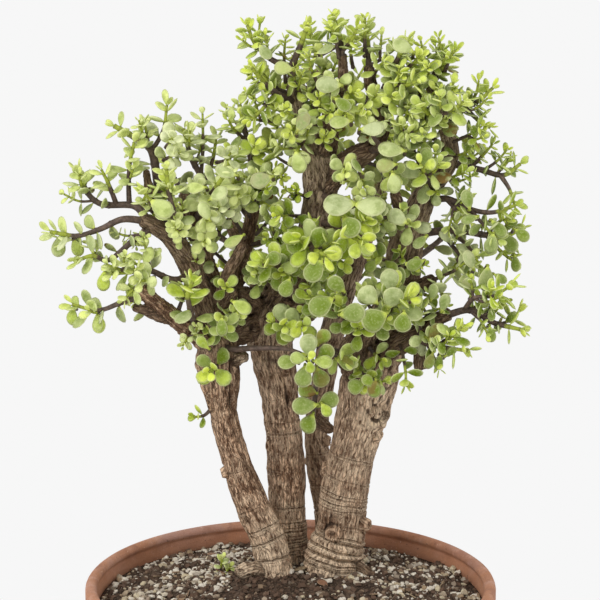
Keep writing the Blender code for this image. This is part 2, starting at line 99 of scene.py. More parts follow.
BOUGHS = {
    "bough_left_low": (
        (-57, 14, 322, 10), (-72, 6, 336, 9), (-86, 0, 347, 8.5), (-98, -8, 359, 7.5),
        (-108, -14, 369, 7), (-116, -18, 376, 6),
    ),
    "bough_left_inner": (
        (-58, 16, 325, 8.5), (-56, 32, 345, 7.5), (-60, 38, 365, 7), (-66, 38, 386, 6.5),
        (-71, 36, 404, 6.5), (-76, 32, 422, 6.5), (-79, 30, 438, 6),
    ),
    "bough_left_back": (
        (-53, 18, 318, 7), (-46, 44, 345, 6.5), (-46, 54, 366, 6), (-42, 54, 382, 6),
        (-36, 54, 400, 5.5), (-32, 52, 416, 5), (-29, 52, 432, 4.5),
    ),
    "bough_crown_mid": (
        (21, 30, 470, 7.5), (31, 24, 493, 6), (37, 22, 513, 5), (40, 22, 533, 4), (40, 22, 551, 3),
    ),
    "bough_crown_right": (
        (23, 32, 452, 9.5), (48, 30, 469, 9), (63, 32, 478, 7.5), (71, 34, 493, 6),
        (68, 34, 511, 5), (62, 34, 527, 4.5), (60, 34, 541, 3.5),
    ),
    "bough_crown_rear": (
        (21, 36, 436, 8.5), (27, 62, 462, 7.5), (32, 84, 488, 6.5), (29, 98, 512, 5), (24, 104, 533, 4),
    ),
    "bough_right_low": (
        (67, 38, 308, 9.5), (81, 12, 326, 7.5), (96, 4, 337, 6.5), (109, 0, 346, 5.5), (122, -2, 354, 5),
    ),
    "bough_front": (
        (59, 40, 290, 10), (46, 10, 319, 9), (54, 2, 336, 8), (66, -6, 347, 7), (75, -10, 360, 5.5),
    ),
    "bough_rear_left": (
        (-17, 52, 330, 9.5), (-26, 80, 362, 8), (-38, 102, 384, 6.5), (-49, 116, 406, 5),
    ),
}
ROOTS = {
    "root_left": ((-12, 40, 131, 8), (-30, 33, 136, 8.5), (-37, 29, 136, 8.5), (-42, 26, 135, 8.0)),
    "root_right": ((44, 46, 139, 9), (58, 39, 134, 6), (70, 35, 128, 4), (80, 31, 122, 3)),
}

# Each leafy shoot is its twigs: the radius at the start, the leaves' length, and the route from
# the bough. The first twig carries the others.
SHOOTS = {
    "shoot_left_low": [(2.6, 17, (-110, -15, 371), (-129, -22, 366), (-146, -26, 361), (-165, -29, 366))],
    "shoot_left_reach": [
        (3, 16, (-76, 14, 380), (-91, 0, 380), (-108, -10, 389), (-122, -18, 389), (-135, -24, 389)),
        (2, 16, (-107, -10, 388), (-112, -22, 394), (-119, -28, 398)),
    ],
    "shoot_left_mid": [
        (2.8, 15, (-104, 0, 422), (-122, -10, 410), (-138, -16, 398), (-150, -20, 402), (-161, -24, 399)),
    ],
    "shoot_left_tip": [
        (3, 17, (-110, -3, 426), (-128, -8, 428), (-145, -12, 421), (-162, -18, 417), (-181, -24, 421)),
    ],
    "shoot_left_up": [
        (3.4, 14, (-108, -1, 424), (-120, 8, 436), (-146, 12, 437), (-159, 14, 449), (-164, 16, 463)),
        (2.2, 15, (-134, 10, 437), (-139, 4, 453), (-144, 0, 465)),
        (2.2, 15, (-124, 9, 436), (-124, 6, 456), (-122, 2, 472), (-119, 0, 486)),
    ],
    "shoot_left_front": [
        (3, 14, (-86, 10, 403), (-88, -12, 430), (-92, -20, 452), (-93, -22, 468)),
        (2, 14, (-88, -12, 430), (-101, -19, 440), (-112, -22, 452)),
    ],
    "shoot_left_top": [
        (4.2, 15, (-92, 6, 411), (-101, 14, 444), (-107, 18, 477), (-120, 16, 488), (-135, 14, 497)),
        (2.2, 18, (-107, 18, 477), (-98, 20, 493), (-95, 22, 512)),
    ],
    "shoot_left_rear": [(3, 15, (-78, 30, 434), (-90, 52, 448), (-100, 70, 464))],
    "shoot_inner_top": [
        (3.4, 15, (-78, 31, 430), (-68, 30, 450), (-77, 30, 470), (-83, 30, 493)),
        (2.2, 15, (-68, 30, 450), (-61, 36, 468), (-58, 38, 485)),
    ],
    "shoot_inner_front": [
        (3, 18, (-76, 33, 420), (-66, 6, 437), (-57, -8, 452), (-49, -14, 464)),
        (2, 18, (-66, 6, 437), (-64, -12, 428)),
    ],
    "shoot_left_base": [(3, 18, (-71, 7, 335), (-75, -14, 353), (-78, -24, 372), (-74, -28, 383))],
    "shoot_left_trunk": [(2.4, 16, (-58, 14, 310), (-59, -8, 312), (-62, -20, 312))],
    "shoot_mid_high": [
        (3.6, 15, (-30, 52, 428), (-29, 50, 452), (-34, 48, 481), (-40, 46, 510)),
        (2.2, 18, (-30, 50, 459), (-22, 42, 474), (-14, 38, 484)),
        (2.2, 15, (-29, 51, 440), (-26, 28, 438), (-14, 12, 434)),
    ],
    "shoot_mid_front": [(3, 17, (8, 42, 382), (-4, 4, 389), (-15, -22, 396), (-22, -30, 400))],
    "shoot_centre_band": [
        (3, 18, (18, 38, 403), (16, -10, 407), (21, -34, 407), (26, -42, 406)),
        (2, 18, (16, -10, 407), (6, -30, 416)),
    ],
    "shoot_cross": [(3, 20, (-58, 14, 328), (-46, 2, 325), (-26, -4, 327), (-4, -16, 329), (12, -44, 330))],
    "shoot_hanging": [
        (3, 19, (47, 12, 316), (30, -14, 326), (21, -24, 310), (18, -26, 286), (17, -26, 272)),
    ],
    "shoot_centre_yellow": [
        (2.8, 17, (21, 36, 420), (38, -12, 422), (49, -38, 418), (54, -48, 416)),
        (2, 17, (39, -15, 422), (54, -32, 432)),
    ],
    "shoot_centre_pale": [(2.8, 22, (22, 34, 441), (36, -12, 444), (44, -30, 448))],
    "shoot_crown_pale": [
        (3, 20, (60, 32, 476), (70, 2, 480), (78, -14, 478)),
        (2.2, 19, (70, 3, 480), (61, -16, 494), (57, -22, 502)),
    ],
    "shoot_crown_left": [
        (3.6, 14, (1, 32, 522), (1, 29, 540), (7, 25, 556), (13, 22, 573)),
        (2.6, 14, (1, 29, 540), (-15, 26, 547), (-27, 22, 559), (-33, 20, 573)),
    ],
    "shoot_crown_side": [
        (2.8, 14, (5, 32, 513), (-12, 14, 523), (-22, 8, 533), (-29, 4, 542)),
        (2, 14, (-11, 15, 522), (-22, 4, 510), (-30, 0, 503)),
    ],
    "shoot_crown_top": [
        (2.6, 15, (40, 22, 545), (38, 18, 562), (34, 15, 577)),
        (1.8, 14, (39, 20, 553), (46, 10, 562), (50, 6, 571)),
    ],
    "shoot_crown_top_right": [(2.6, 15, (60, 34, 536), (60, 37, 555), (58, 39, 571))],
    "shoot_crown_right": [
        (3.2, 15, (69, 34, 508), (74, 26, 530), (82, 20, 548), (88, 16, 563)),
        (2.2, 15, (74, 26, 530), (86, 10, 528), (96, 2, 532)),
    ],
    "shoot_right_crest": [(2.6, 14, (107, 34, 522), (115, 34, 536), (124, 32, 551))],
    "shoot_right_shoulder": [
        (2.8, 15, (120, 36, 497), (135, 30, 509), (146, 26, 516), (155, 24, 525)),
        (2, 15, (135, 30, 509), (145, 22, 500), (153, 18, 495)),
    ],
    "shoot_right_high": [
        (3, 15, (120, 38, 466), (147, 34, 461), (165, 30, 457), (178, 28, 466)),
        (2, 15, (163, 30, 457), (170, 26, 446), (174, 24, 433)),
    ],
    "shoot_right_mid_high": [
        (3, 16, (102, 38, 432), (120, 20, 440), (138, 12, 433), (155, 8, 431), (172, 4, 437)),
    ],
    "shoot_right_mid": [
        (3.4, 16, (93, 40, 408), (127, 42, 412), (154, 42, 408), (171, 42, 408), (182, 42, 415)),
        (2, 15, (154, 42, 408), (164, 36, 397), (174, 32, 389)),
    ],
    "shoot_right_low": [
        (3, 14, (119, -2, 352), (138, -5, 357), (156, -9, 348), (169, -12, 345), (179, -14, 343)),
        (2.2, 16, (133, -4, 356), (140, -18, 369), (154, -25, 372), (167, -29, 381)),
    ],
    "shoot_right_under": [
        (2.8, 15, (94, 5, 335), (105, -12, 332), (120, -22, 331), (135, -28, 330)),
        (2, 14, (112, -17, 331), (122, -31, 342), (129, -36, 350)),
    ],
    "shoot_front_right": [(2.8, 19, (72, -9, 356), (78, -26, 366), (89, -38, 373))],
    "shoot_right_inner": [(2.8, 18, (108, 38, 445), (103, 4, 460), (98, -18, 471))],
    "shoot_right_centre": [
        (2.6, 16, (120, 36, 494), (108, 8, 504), (99, -6, 514)),
        (2, 15, (109, 10, 503), (122, -4, 511), (130, -10, 518)),
    ],
    "shoot_right_rear": [(3, 16, (90, 44, 384), (110, 68, 392), (128, 88, 404), (140, 98, 417))],
    "shoot_rear_left_low": [
        (3, 16, (-38, 102, 384), (-60, 112, 396), (-82, 116, 408), (-96, 118, 419)),
        (2.2, 16, (-60, 112, 396), (-60, 130, 404), (-64, 144, 415)),
    ],
    "shoot_rear_left_high": [(3.2, 16, (-47, 114, 402), (-54, 119, 436), (-50, 124, 464))],
    "shoot_rear_crown": [
        (2.8, 15, (25, 103, 529), (21, 108, 550), (14, 112, 565)),
        (2, 15, (22, 106, 544), (38, 114, 552), (50, 118, 561)),
    ],
    "shoot_rear_right": [(3, 16, (74, 124, 434), (80, 128, 466), (85, 130, 488))],
    "shoot_rear_right_low": [(3, 16, (56, 108, 384), (76, 124, 386), (97, 134, 393), (111, 138, 402))],
}
SEEDLING = (
    (1.6, 8.5, (-57, 44, 122), (-57, 43, 134), (-56, 41, 142)),
    (1.2, 8, (-56, 44, 124), (-52, 41, 132), (-49, 38, 136)),
)

# Cut and broken boughs: the limb's group, then its points as above.
STUBS = {
    "wood_left": (
        ((-93, -3, 350, 5), (-102, -8, 353, 4), (-111, -10, 357, 3.2)),
        ((-98, -8, 359, 4.5), (-112, -13, 359, 3.4), (-120, -14, 361, 2.8)),
        ((-104, 14, 434, 4), (-108, 6, 449, 3.6), (-110, 2, 464, 2.6)),
        ((-72, 36, 404, 6), (-78, 28, 418, 5.8), (-82, 22, 443, 4.4)),
        ((-54, 22, 352, 6), (-50, 8, 378, 5), (-36, 0, 407, 4)),
        ((-58, 14, 352, 5.5), (-47, 4, 366, 4.8), (-44, 1, 371, 4.4)),
        ((-52, 16, 310, 7), (-41, 12, 316, 5.5), (-35, 10, 318, 4.6)),
    ),
    "wood_middle": (
        ((-18, 52, 330, 11), (-34, 40, 336, 10), (-50, 26, 330, 9)),
        ((-17, 48, 345, 10), (-30, 38, 356, 8.5), (-44, 30, 366, 6)),
        ((-14, 46, 356, 9), (2, 30, 352, 7), (18, 22, 348, 5)),
        ((22, 36, 440, 7), (34, 20, 452, 5), (44, 8, 470, 3.5)),
    ),
    "wood_back": (
        ((22, 96, 246, 6), (27, 84, 243, 5), (33, 78, 241, 3.6)),
    ),
    "wood_right": (
        ((88, 40, 362, 7), (98, 28, 368, 6), (111, 20, 376, 5.2)),
        ((90, 22, 332, 6), (100, 12, 323, 5), (101, 10, 308, 5)),
        ((64, 36, 262, 8), (73, 32, 263, 5.5), (77, 31, 264, 4)),
        ((96, 38, 420, 6), (86, 20, 430, 5), (80, 10, 446, 3.6)),
    ),
}
WOOD_GROUPS = {
    "wood_left": ("trunk_left", "root_left", "bough_left_low", "bough_left_inner", "bough_left_back"),
    "wood_middle": (
        "trunk_middle", "bough_crown_mid", "bough_crown_right", "bough_crown_rear", "bough_rear_left",
    ),
    "wood_back": ("trunk_back",),
    "wood_right": ("trunk_right", "root_right", "bough_right_low", "bough_front"),
}
# Creases round a trunk: its height, its depth and its half-width.
# The depth also sets how strongly the bark paints a shadow in the crease and a highlight on its lips.
CREASES = {
    "trunk_left": ((222, 0.15, 1.2), (187, 0.3, 1.2), (171, 0.6, 1.4), (160, 1.0, 1.6), (145, 1.2, 1.8)),
    "trunk_middle": (
        (254, 0.5, 1.1), (243, 0.5, 1.1), (212, 0.2, 1.0), (178.5, 0.7, 1.2),
        (165, 0.7, 0.9), (161.5, 0.6, 0.8), (158, 0.7, 0.9), (154.5, 0.7, 0.8), (151, 0.6, 0.9),
        (147.5, 0.8, 0.9), (144, 0.7, 0.9), (140.5, 0.8, 0.9), (137, 0.7, 0.9),
    ),
    "trunk_back": ((215, 0.4, 1.2), (188, 0.4, 1.2), (262, 0.4, 1.2), (238, 0.3, 1.0), (166, 0.6, 1.2)),
    "trunk_right": (
        (228.5, 0.4, 0.9), (209.5, 0.5, 0.9), (197, 0.75, 1.0), (193.3, 0.5, 0.9),
        (188.5, 0.85, 1.1), (185, 0.45, 0.9), (171, 0.3, 0.9), (162, 0.8, 1.1), (156.5, 1.6, 1.5),
        (150.5, 1.3, 1.4), (144, 1.9, 1.7), (139, 1.1, 1.2), (134, 1.5, 1.5),
    ),
}
TILT = {"trunk_right": 0.13, "trunk_middle": 0.05}  # how steeply a trunk's rings run down to the right
SLIMMER = {"root_left": 0.72, "root_right": 0.72, "bough_left_low": 0.84}  # share of the radii kept
WARMTH = {
    "trunk_left": 1.0, "trunk_middle": 1.0, "trunk_back": 0.5, "trunk_right": 0.88,
    "bough_left_low": 0.7, "bough_left_inner": 0.45, "bough_left_back": 0.45,
}
# Knots: the trunk, its height, the way it faces in degrees (-90 is the front), radius and rise.
KNOTS = (
    ("trunk_left", 217, -165, 4.5, 2.6), ("trunk_left", 316, -12, 5.5, 3.6),
    ("trunk_left", 276, -140, 3.5, 1.4), ("trunk_left", 246, -70, 4, 1),
    ("trunk_middle", 232, -150, 4.5, 1.4), ("trunk_middle", 196, -60, 4, 1),
    ("trunk_right", 171, -20, 5.4, 5.4), ("trunk_right", 167, -108, 6.2, 5.6),
    ("trunk_right", 246, -28, 5, 2.4), ("trunk_right", 268, -60, 5, 2), ("trunk_right", 214, 160, 6, 2.6),
    ("trunk_right", 190, 95, 7, 3), ("trunk_left", 200, 100, 5, 2.2), ("trunk_back", 226, -20, 4.5, 2.4),
    ("trunk_back", 205, 140, 4.5, 2),
)
# Deep upright furrows: the trunk, its lowest and highest point, the way it faces, width and depth.
FURROWS = (
    ("trunk_left", 272, 322, -46, 1.8, 4.2), ("trunk_left", 134, 170, -40, 1, 1.5),
    ("trunk_left", 134, 158, -75, 0.9, 1.2), ("trunk_right", 268, 312, -72, 1.4, 2),
    ("trunk_right", 240, 262, -52, 1.2, 1.6), ("trunk_right", 120, 150, -35, 2.4, 2.4),
    ("trunk_middle", 262, 324, -58, 1.5, 2.6),
)
# Where old bark has peeled to pale wood: its middle and its reach each way.
PEELED = (
    ((-2, 24, 152), (5, 14, 17)), ((-10, 26, 180), (6, 12, 12)), ((66, 24, 258), (11, 16, 22)),
    ((68, 22, 280), (13, 16, 12)), ((74, 26, 238), (9, 16, 18)), ((58, 30, 176), (4, 6, 4)),
    ((38, 22, 131), (16, 10, 4)), ((-38, 10, 317), (4, 6, 4)), ((-56, 26, 217), (3, 6, 3)),
    ((60, 60, 250), (14, 12, 20)), ((40, 14, 146), (20, 12, 12)), ((-22, 26, 150), (8, 12, 12)),
    ((-6, 20, 140), (14, 10, 8)), ((-38, 28, 137), (9, 9, 7)), ((3, 28, 160), (12, 12, 12)),
    ((44, 12, 140), (24, 12, 7)), ((52, 20, 218), (10, 12, 8)),
)
# Rough burls where the boughs leave the trunks: the middle and the reach each way.
BURLS = (
    ((-20, 40, 350), (32, 26, 26)), ((-62, 20, 326), (18, 20, 16)), ((76, 34, 330), (28, 26, 20)),
    ((52, 30, 306), (12, 20, 14)), ((70, 24, 270), (10, 18, 14)),
)
# A twig that only the looks have, given as in SHOOTS.
MORE_TWIGS = {"shoot_left_trunk": [(1.8, 10, (-61, 20, 275), (-68, 14, 269), (-76, 8, 269))]}
# Sprays between the shoots, in parts of the crown: the leaves' length, how young they are, how
# waxy and painted pale with highlight they are, and the route.
SPRAYS = {
    "spray_left": [
        (11, 0.7, 0, (-97, 8, 444), (-94, -6, 452), (-91, -12, 461)),
        (9, 0.6, 0, (-106, 4, 432), (-112, -6, 441), (-109, -10, 448)),
        (11, 0.6, 0, (-84, 10, 404), (-84, -10, 420), (-85, -20, 429)),
        (12, 0.2, 0, (-107, 18, 474), (-110, 16, 488), (-112, 14, 501)),
        (15, 0.1, 0.2, (-70, 32, 455), (-68, 30, 480), (-68, 28, 505)),
        (14, 0, 0.5, (-58, 38, 466), (-50, 20, 470), (-46, 8, 477)),
        (14, 0, 0.3, (-98, 18, 470), (-92, 8, 474), (-84, 0, 478)),
        (16, 0, 0.5, (-96, 18, 480), (-92, 6, 486), (-90, -4, 489)),
        (14, 0.1, 0, (-104, -12, 384), (-110, -26, 384), (-114, -36, 385)),
        (12, 0.2, 0, (-122, -18, 389), (-130, -26, 393), (-137, -32, 397)),
        (14, 0, 0, (-112, -14, 380), (-120, -22, 376), (-126, -26, 369)),
        (9, 0.2, 0, (-76, 4, 338), (-80, -6, 334), (-83, -10, 330)),
        (8, 0.3, 0, (-112, -4, 420), (-116, -8, 414), (-118, -10, 408)),
        (14, 0.35, 0, (-74, 30, 412), (-68, 6, 411), (-65, -14, 411)),
        (13, 0, 0.4, (-36, 48, 405), (-46, 20, 426), (-53, -2, 434), (-55, -16, 439)),
        (14, 0.6, 0, (-32, 50, 420), (-38, 20, 440), (-40, 0, 446)),
        (16, 0, 0.3, (-78, 30, 440), (-74, 10, 446), (-70, -4, 452)),
        (15, 0, 0, (-86, 8, 405), (-96, 24, 420), (-104, 36, 436)),
        (13, 0, 0, (-60, 38, 366), (-70, 20, 384), (-74, 6, 394)),
    ],
    "spray_centre": [
        (15, 0.1, 0.1, (-54, 16, 336), (-52, -8, 344), (-51, -24, 351)),
        (13, 0.1, 0.2, (-48, 14, 350), (-44, 0, 354), (-40, -12, 357)),
        (17, 0.2, 0, (-17, 36, 336), (-6, 8, 342), (-5, -14, 347)),
        (17, 0.3, 0, (-10, 34, 340), (6, 6, 346), (9, -18, 347)),
        (14, 0.1, 0, (0, 40, 378), (-4, 8, 386), (-6, -14, 388)),
        (15, 0, 0, (50, 4, 332), (42, -18, 350), (38, -34, 366)),
        (15, 0, 0.1, (66, -2, 344), (70, -24, 352), (72, -38, 357)),
        (14, 0.1, 0.1, (86, 30, 385), (72, 8, 394), (62, -8, 399)),
        (13, 0.2, 0.1, (20, 26, 408), (12, 2, 408), (8, -14, 409)),
        (15, 0, 0, (24, 24, 392), (22, 0, 393), (23, -18, 396)),
        (12, 0, 0.5, (94, 34, 412), (78, 12, 424), (62, -4, 434), (52, -16, 441)),
        (15, 0, 0, (30, 22, 425), (44, 2, 424), (50, -14, 425)),
        (15, 0, 0.2, (84, 30, 418), (72, 8, 424), (66, -8, 425)),
        (14, 0.45, 0, (10, 30, 425), (-2, 10, 428), (-10, -4, 430)),
        (10, 0.1, 0, (4, 38, 400), (-10, 20, 408), (-18, 6, 411)),
        (8, 0.8, 0, (-22, 36, 372), (-20, 20, 378), (-18, 8, 384)),
        (11, 0, 0, (-29, 50, 436), (-22, 24, 446), (-18, 8, 450)),
        (9, 0.3, 0, (14, 24, 440), (6, 14, 445), (3, 8, 448)),
        (16, 0, 0.2, (30, -6, 325), (38, -18, 322), (44, -26, 322)),
        (15, 0, 0, (62, 18, 322), (66, 2, 320), (70, -8, 318)),
        (13, 0.2, 0, (60, 20, 303), (60, 6, 301), (59, -8, 299)),
        (14, 0.1, 0, (84, 10, 330), (86, -10, 325), (88, -22, 312), (88, -26, 303)),
        (15, 0, 0, (54, 2, 336), (52, -22, 344), (52, -36, 350)),
        (14, 0, 0.4, (86, 30, 385), (72, 6, 376), (62, -10, 375)),
        (16, 0.1, 0, (24, 34, 400), (34, 8, 396), (40, -14, 396)),
        (17, 0, 0, (16, 30, 356), (26, 6, 364), (31, -12, 368)),
        (14, 0, 0.2, (-20, 40, 366), (-24, 16, 380), (-27, -2, 388)),
        (16, 0, 0, (12, 28, 350), (16, 4, 362), (14, -16, 370)),
        (12, 0.4, 0, (-50, 20, 366), (-50, 4, 372), (-50, -8, 376)),
    ],
    "spray_top": [
        (10, 0.5, 0, (-4, 34, 528), (-5, 30, 548), (-4, 26, 562)),
        (13, 0.2, 0, (37, 20, 548), (34, 12, 566), (33, 8, 581)),
        (13, 0.1, 0.1, (57, 34, 548), (57, 30, 566), (57, 26, 578)),
        (15, 0, 0.4, (60, 34, 541), (70, 30, 547), (83, 26, 557)),
        (12, 0.4, 0, (74, 26, 530), (86, 24, 544), (90, 22, 560)),
        (13, 0.1, 0, (88, 16, 540), (94, 10, 546), (98, 6, 551)),
        (13, 0, 0.4, (40, 22, 533), (36, 8, 532), (30, -6, 530)),
        (13, 0, 0, (38, 22, 520), (40, 4, 514), (42, -8, 508)),
        (13, 0.5, 0, (38, 22, 524), (44, 6, 523), (49, -4, 524)),
        (13, 0, 0.6, (63, 32, 478), (62, 8, 492), (62, -8, 499)),
        (15, 0.3, 0.1, (68, 34, 511), (74, 14, 516), (78, 0, 520)),
        (13, 0, 0.4, (69, 34, 505), (84, 16, 508), (92, 2, 506)),
        (13, 0.1, 0.3, (71, 34, 493), (84, 14, 494), (92, -4, 490)),
        (15, 0.1, 0.1, (62, 34, 527), (66, 18, 540), (70, 6, 546)),
        (16, 0.2, 0.2, (60, 34, 515), (56, 14, 512), (54, -2, 512)),
        (14, 0.1, 0, (107, 34, 528), (104, 20, 540), (100, 10, 547)),
        (12, 0.2, 0, (0, 30, 505), (-8, 18, 508), (-14, 8, 514)),
        (13, 0.65, 0.1, (10, 32, 499), (4, 14, 496), (0, 0, 493)),
        (12, 0, 0.3, (12, 30, 505), (10, 8, 503), (8, -6, 501)),
        (15, 0, 0.5, (10, 26, 484), (6, 10, 480), (5, 2, 474)),
        (10, 0.6, 0, (24, 24, 480), (26, 10, 486), (26, 2, 491)),
        (14, 0.3, 0.3, (34, 22, 470), (40, 2, 466), (41, -14, 465)),
        (14, 0.2, 0.3, (52, 26, 468), (54, 4, 458), (56, -12, 453)),
        (15, 0.5, 0, (-30, 50, 459), (-30, 30, 472), (-28, 14, 482)),
        (13, 0, 0.5, (-22, 44, 452), (-24, 24, 458), (-26, 10, 461)),
        (9, 0.3, 0, (-16, 38, 458), (-13, 30, 461), (-10, 24, 464)),
        (15, 0, 0.2, (-34, 48, 481), (-44, 36, 492), (-48, 28, 500)),
        (13, 0, 0, (18, 32, 500), (22, 16, 512), (22, 4, 520)),
        (14, 0.2, 0, (76, 28, 534), (80, 14, 538), (84, 4, 536)),
        (16, 0, 0.2, (80, 30, 470), (78, 8, 462), (78, -8, 460)),
        (12, 0.2, 0.1, (-6, 34, 520), (-16, 28, 530), (-22, 24, 538)),
        (12, 0.2, 0.1, (-10, 36, 508), (-24, 30, 514), (-34, 26, 522)),
        (12, 0.2, 0, (2, 32, 516), (6, 20, 526), (8, 14, 536)),
        (13, 0.1, 0.1, (-14, 40, 498), (-26, 32, 500), (-36, 26, 506)),
        (12, 0.3, 0, (48, 30, 540), (46, 22, 552), (46, 16, 562)),
        (12, 0.3, 0, (20, 24, 530), (16, 14, 540), (14, 8, 550)),
        (13, 0.2, 0.1, (100, 30, 512), (108, 18, 520), (112, 8, 526)),
        (13, 0.1, 0.2, (96, 34, 486), (106, 18, 496), (112, 6, 502)),
    ],
    "spray_right": [
        (13, 0.1, 0, (118, 34, 534), (122, 30, 546), (126, 26, 554)),
        (13, 0.1, 0, (107, 34, 528), (112, 26, 540), (118, 20, 548)),
        (13, 0.1, 0, (135, 30, 509), (142, 24, 520), (144, 20, 531)),
        (13, 0.1, 0.1, (122, 36, 492), (132, 22, 508), (136, 14, 520)),
        (14, 0, 0.1, (118, 36, 500), (122, 20, 518), (124, 12, 530)),
        (12, 0.2, 0, (121, 36, 480), (138, 20, 490), (146, 12, 497)),
        (12, 0, 0.1, (140, 34, 462), (150, 28, 474), (156, 24, 482)),
        (11, 0.2, 0, (150, 34, 460), (160, 30, 468), (167, 26, 477)),
        (13, 0.1, 0, (106, 38, 442), (124, 22, 456), (134, 12, 461)),
        (14, 0, 0.3, (120, 20, 440), (130, 10, 430), (138, 4, 423)),
        (18, 0, 0.1, (128, 42, 410), (140, 22, 400), (147, 8, 388)),
        (17, 0, 0.6, (120, 42, 408), (134, 26, 392), (139, 14, 380)),
        (15, 0, 0.4, (111, 20, 376), (128, 10, 386), (138, 4, 396)),
        (11, 0.1, 0, (100, 8, 345), (110, -6, 356), (118, -14, 362)),
        (11, 0.1, 0.1, (98, 20, 368), (106, 8, 366), (108, -2, 370)),
        (17, 0, 0.4, (96, 4, 337), (102, -14, 338), (107, -26, 339)),
        (14, 0.5, 0, (92, 16, 350), (92, -10, 356), (91, -26, 362)),
        (18, 0, 0.1, (86, 20, 365), (82, -6, 372), (80, -20, 378)),
        (12, 0.1, 0, (105, -12, 332), (110, -18, 322), (114, -22, 314)),
        (14, 0.1, 0.2, (118, 38, 458), (112, 16, 470), (110, 0, 478)),
        (12, 0.1, 0, (123, 38, 470), (132, 24, 474), (138, 16, 478)),
        (13, 0.2, 0, (110, 38, 445), (112, 18, 446), (112, 2, 448)),
        (17, 0.1, 0.3, (95, 39, 415), (92, 14, 420), (90, -4, 424)),
        (10, 0.4, 0, (90, 28, 385), (92, 14, 388), (94, 4, 389)),
        (15, 0.1, 0.2, (104, 36, 470), (102, 14, 484), (100, -2, 492)),
        (12, 0.1, 0, (154, 42, 408), (162, 30, 420), (168, 22, 424)),
        (14, 0, 0.2, (138, 12, 433), (150, 0, 420), (158, -8, 412)),
        (12, 0, 0.1, (138, -5, 357), (146, -14, 350), (150, -20, 342)),
    ],
}
# How each bough bears short sprouts all round: the limb, how far up it they start (as a share),
# how far apart they stand and how long they grow.
SPROUTS = {
    "sprout_left": (
        ("trunk_left", 0.86, 18, 24), ("bough_left_inner", 0.55, 20, 26), ("bough_left_back", 0.45, 18, 32),
        ("bough_left_low", 0.55, 20, 24),
    ),
    "sprout_middle": (
        ("trunk_middle", 0.84, 13, 30), ("bough_crown_mid", 0.25, 13, 30),
        ("bough_crown_right", 0.35, 13, 30), ("bough_crown_rear", 0.3, 12, 36),
        ("bough_rear_left", 0.35, 12, 36),
    ),
    "sprout_right": (
        ("trunk_right", 0.72, 13, 30), ("trunk_back", 0.72, 12, 38), ("bough_right_low", 0.6, 16, 22),
        ("bough_front", 0.6, 16, 22),
    ),
    "sprout_rear": (
        ("trunk_middle", 0.80, 9, 40), ("bough_crown_mid", 0.2, 9, 40), ("bough_crown_right", 0.25, 9, 42),
        ("bough_crown_rear", 0.2, 9, 40), ("bough_rear_left", 0.3, 10, 40), ("trunk_back", 0.66, 9, 42),
        ("trunk_right", 0.70, 9, 42), ("bough_left_back", 0.4, 12, 36),
    ),
}
# No sprout's tip leaves this dome over the crown's right half.
DOME_MIDDLE = (0.03, 0.40)
DOME_REACH = (0.145, 0.15)


def spread(shared):
    """A value for each name, from the names that share it."""
    return {name: value for value, names in shared.items() for name in names.split()}


# How pale a shoot's leaves are: waxy bloom, and a painted highlight on leaves that face the light. For the
# large front leaves it scales their own values.
BLOOM_AND_HIGHLIGHT = spread({
    0.6: "shoot_inner_top shoot_inner_front",
    0.5: "leaves_right spray_left",
    0.4: (
        "seedling shoot_left_up shoot_left_top shoot_left_tip shoot_left_mid shoot_left_reach "
        "shoot_mid_high"
    ),
    0.3: "shoot_left_rear shoot_left_front shoot_left_low",
    0.2: "shoot_right_centre",
    0.15: "shoot_crown_right shoot_crown_top_right",
    0.1: "shoot_right_inner",
    0.05: "spray_top",
})
# How far a shoot's leaves turn their faces to the front.
TURNED = spread({
    0.7: "shoot_left_low",
    0.5: "shoot_left_mid shoot_left_tip",
    0.4: "shoot_left_reach",
    0.12: "shoot_left_up shoot_left_top",
    0.1: "shoot_left_rear",
    0.05: "spray_left",
    -0.1: "spray_centre",
    -0.2: "shoot_right_high shoot_right_mid_high shoot_right_mid shoot_right_low",
    -0.25: "shoot_crown_side shoot_crown_right spray_right",
    -0.3: "shoot_crown_left shoot_crown_top shoot_crown_top_right shoot_right_crest shoot_right_shoulder",
    -0.32: "spray_top",
})
CAMERA = (0.0072, -1.515, 0.653)  # in metres; the large front leaves are laid out as seen from here
# The leaves' breadth as a share of the usual one.
NARROW = spread({
    1.13: "leaves_centre",
    1.1: "shoot_left_trunk shoot_left_base",
    0.95: "leaves_top",
    0.92: "leaves_left",
    0.88: "shoot_left_up shoot_left_top",
    0.86: "leaves_right",
    0.85: "shoot_right_inner shoot_left_low shoot_left_mid shoot_left_tip shoot_crown_top shoot_crown_left",
    0.82: "spray_right shoot_left_reach",
    0.8: "shoot_right_shoulder shoot_right_crest",
    0.75: "shoot_right_high shoot_right_mid_high shoot_right_under",
    0.72: "shoot_right_mid shoot_right_low",
})
# Twigs whose leaves are among the large front leaves.
BARE = ("shoot_cross", "shoot_hanging", "shoot_centre_pale", "shoot_crown_pale")
LIFTED = {"leaves_top": 0.5, "leaves_left": 0.35, "leaves_right": 0.1}  # how far front leaves tip up
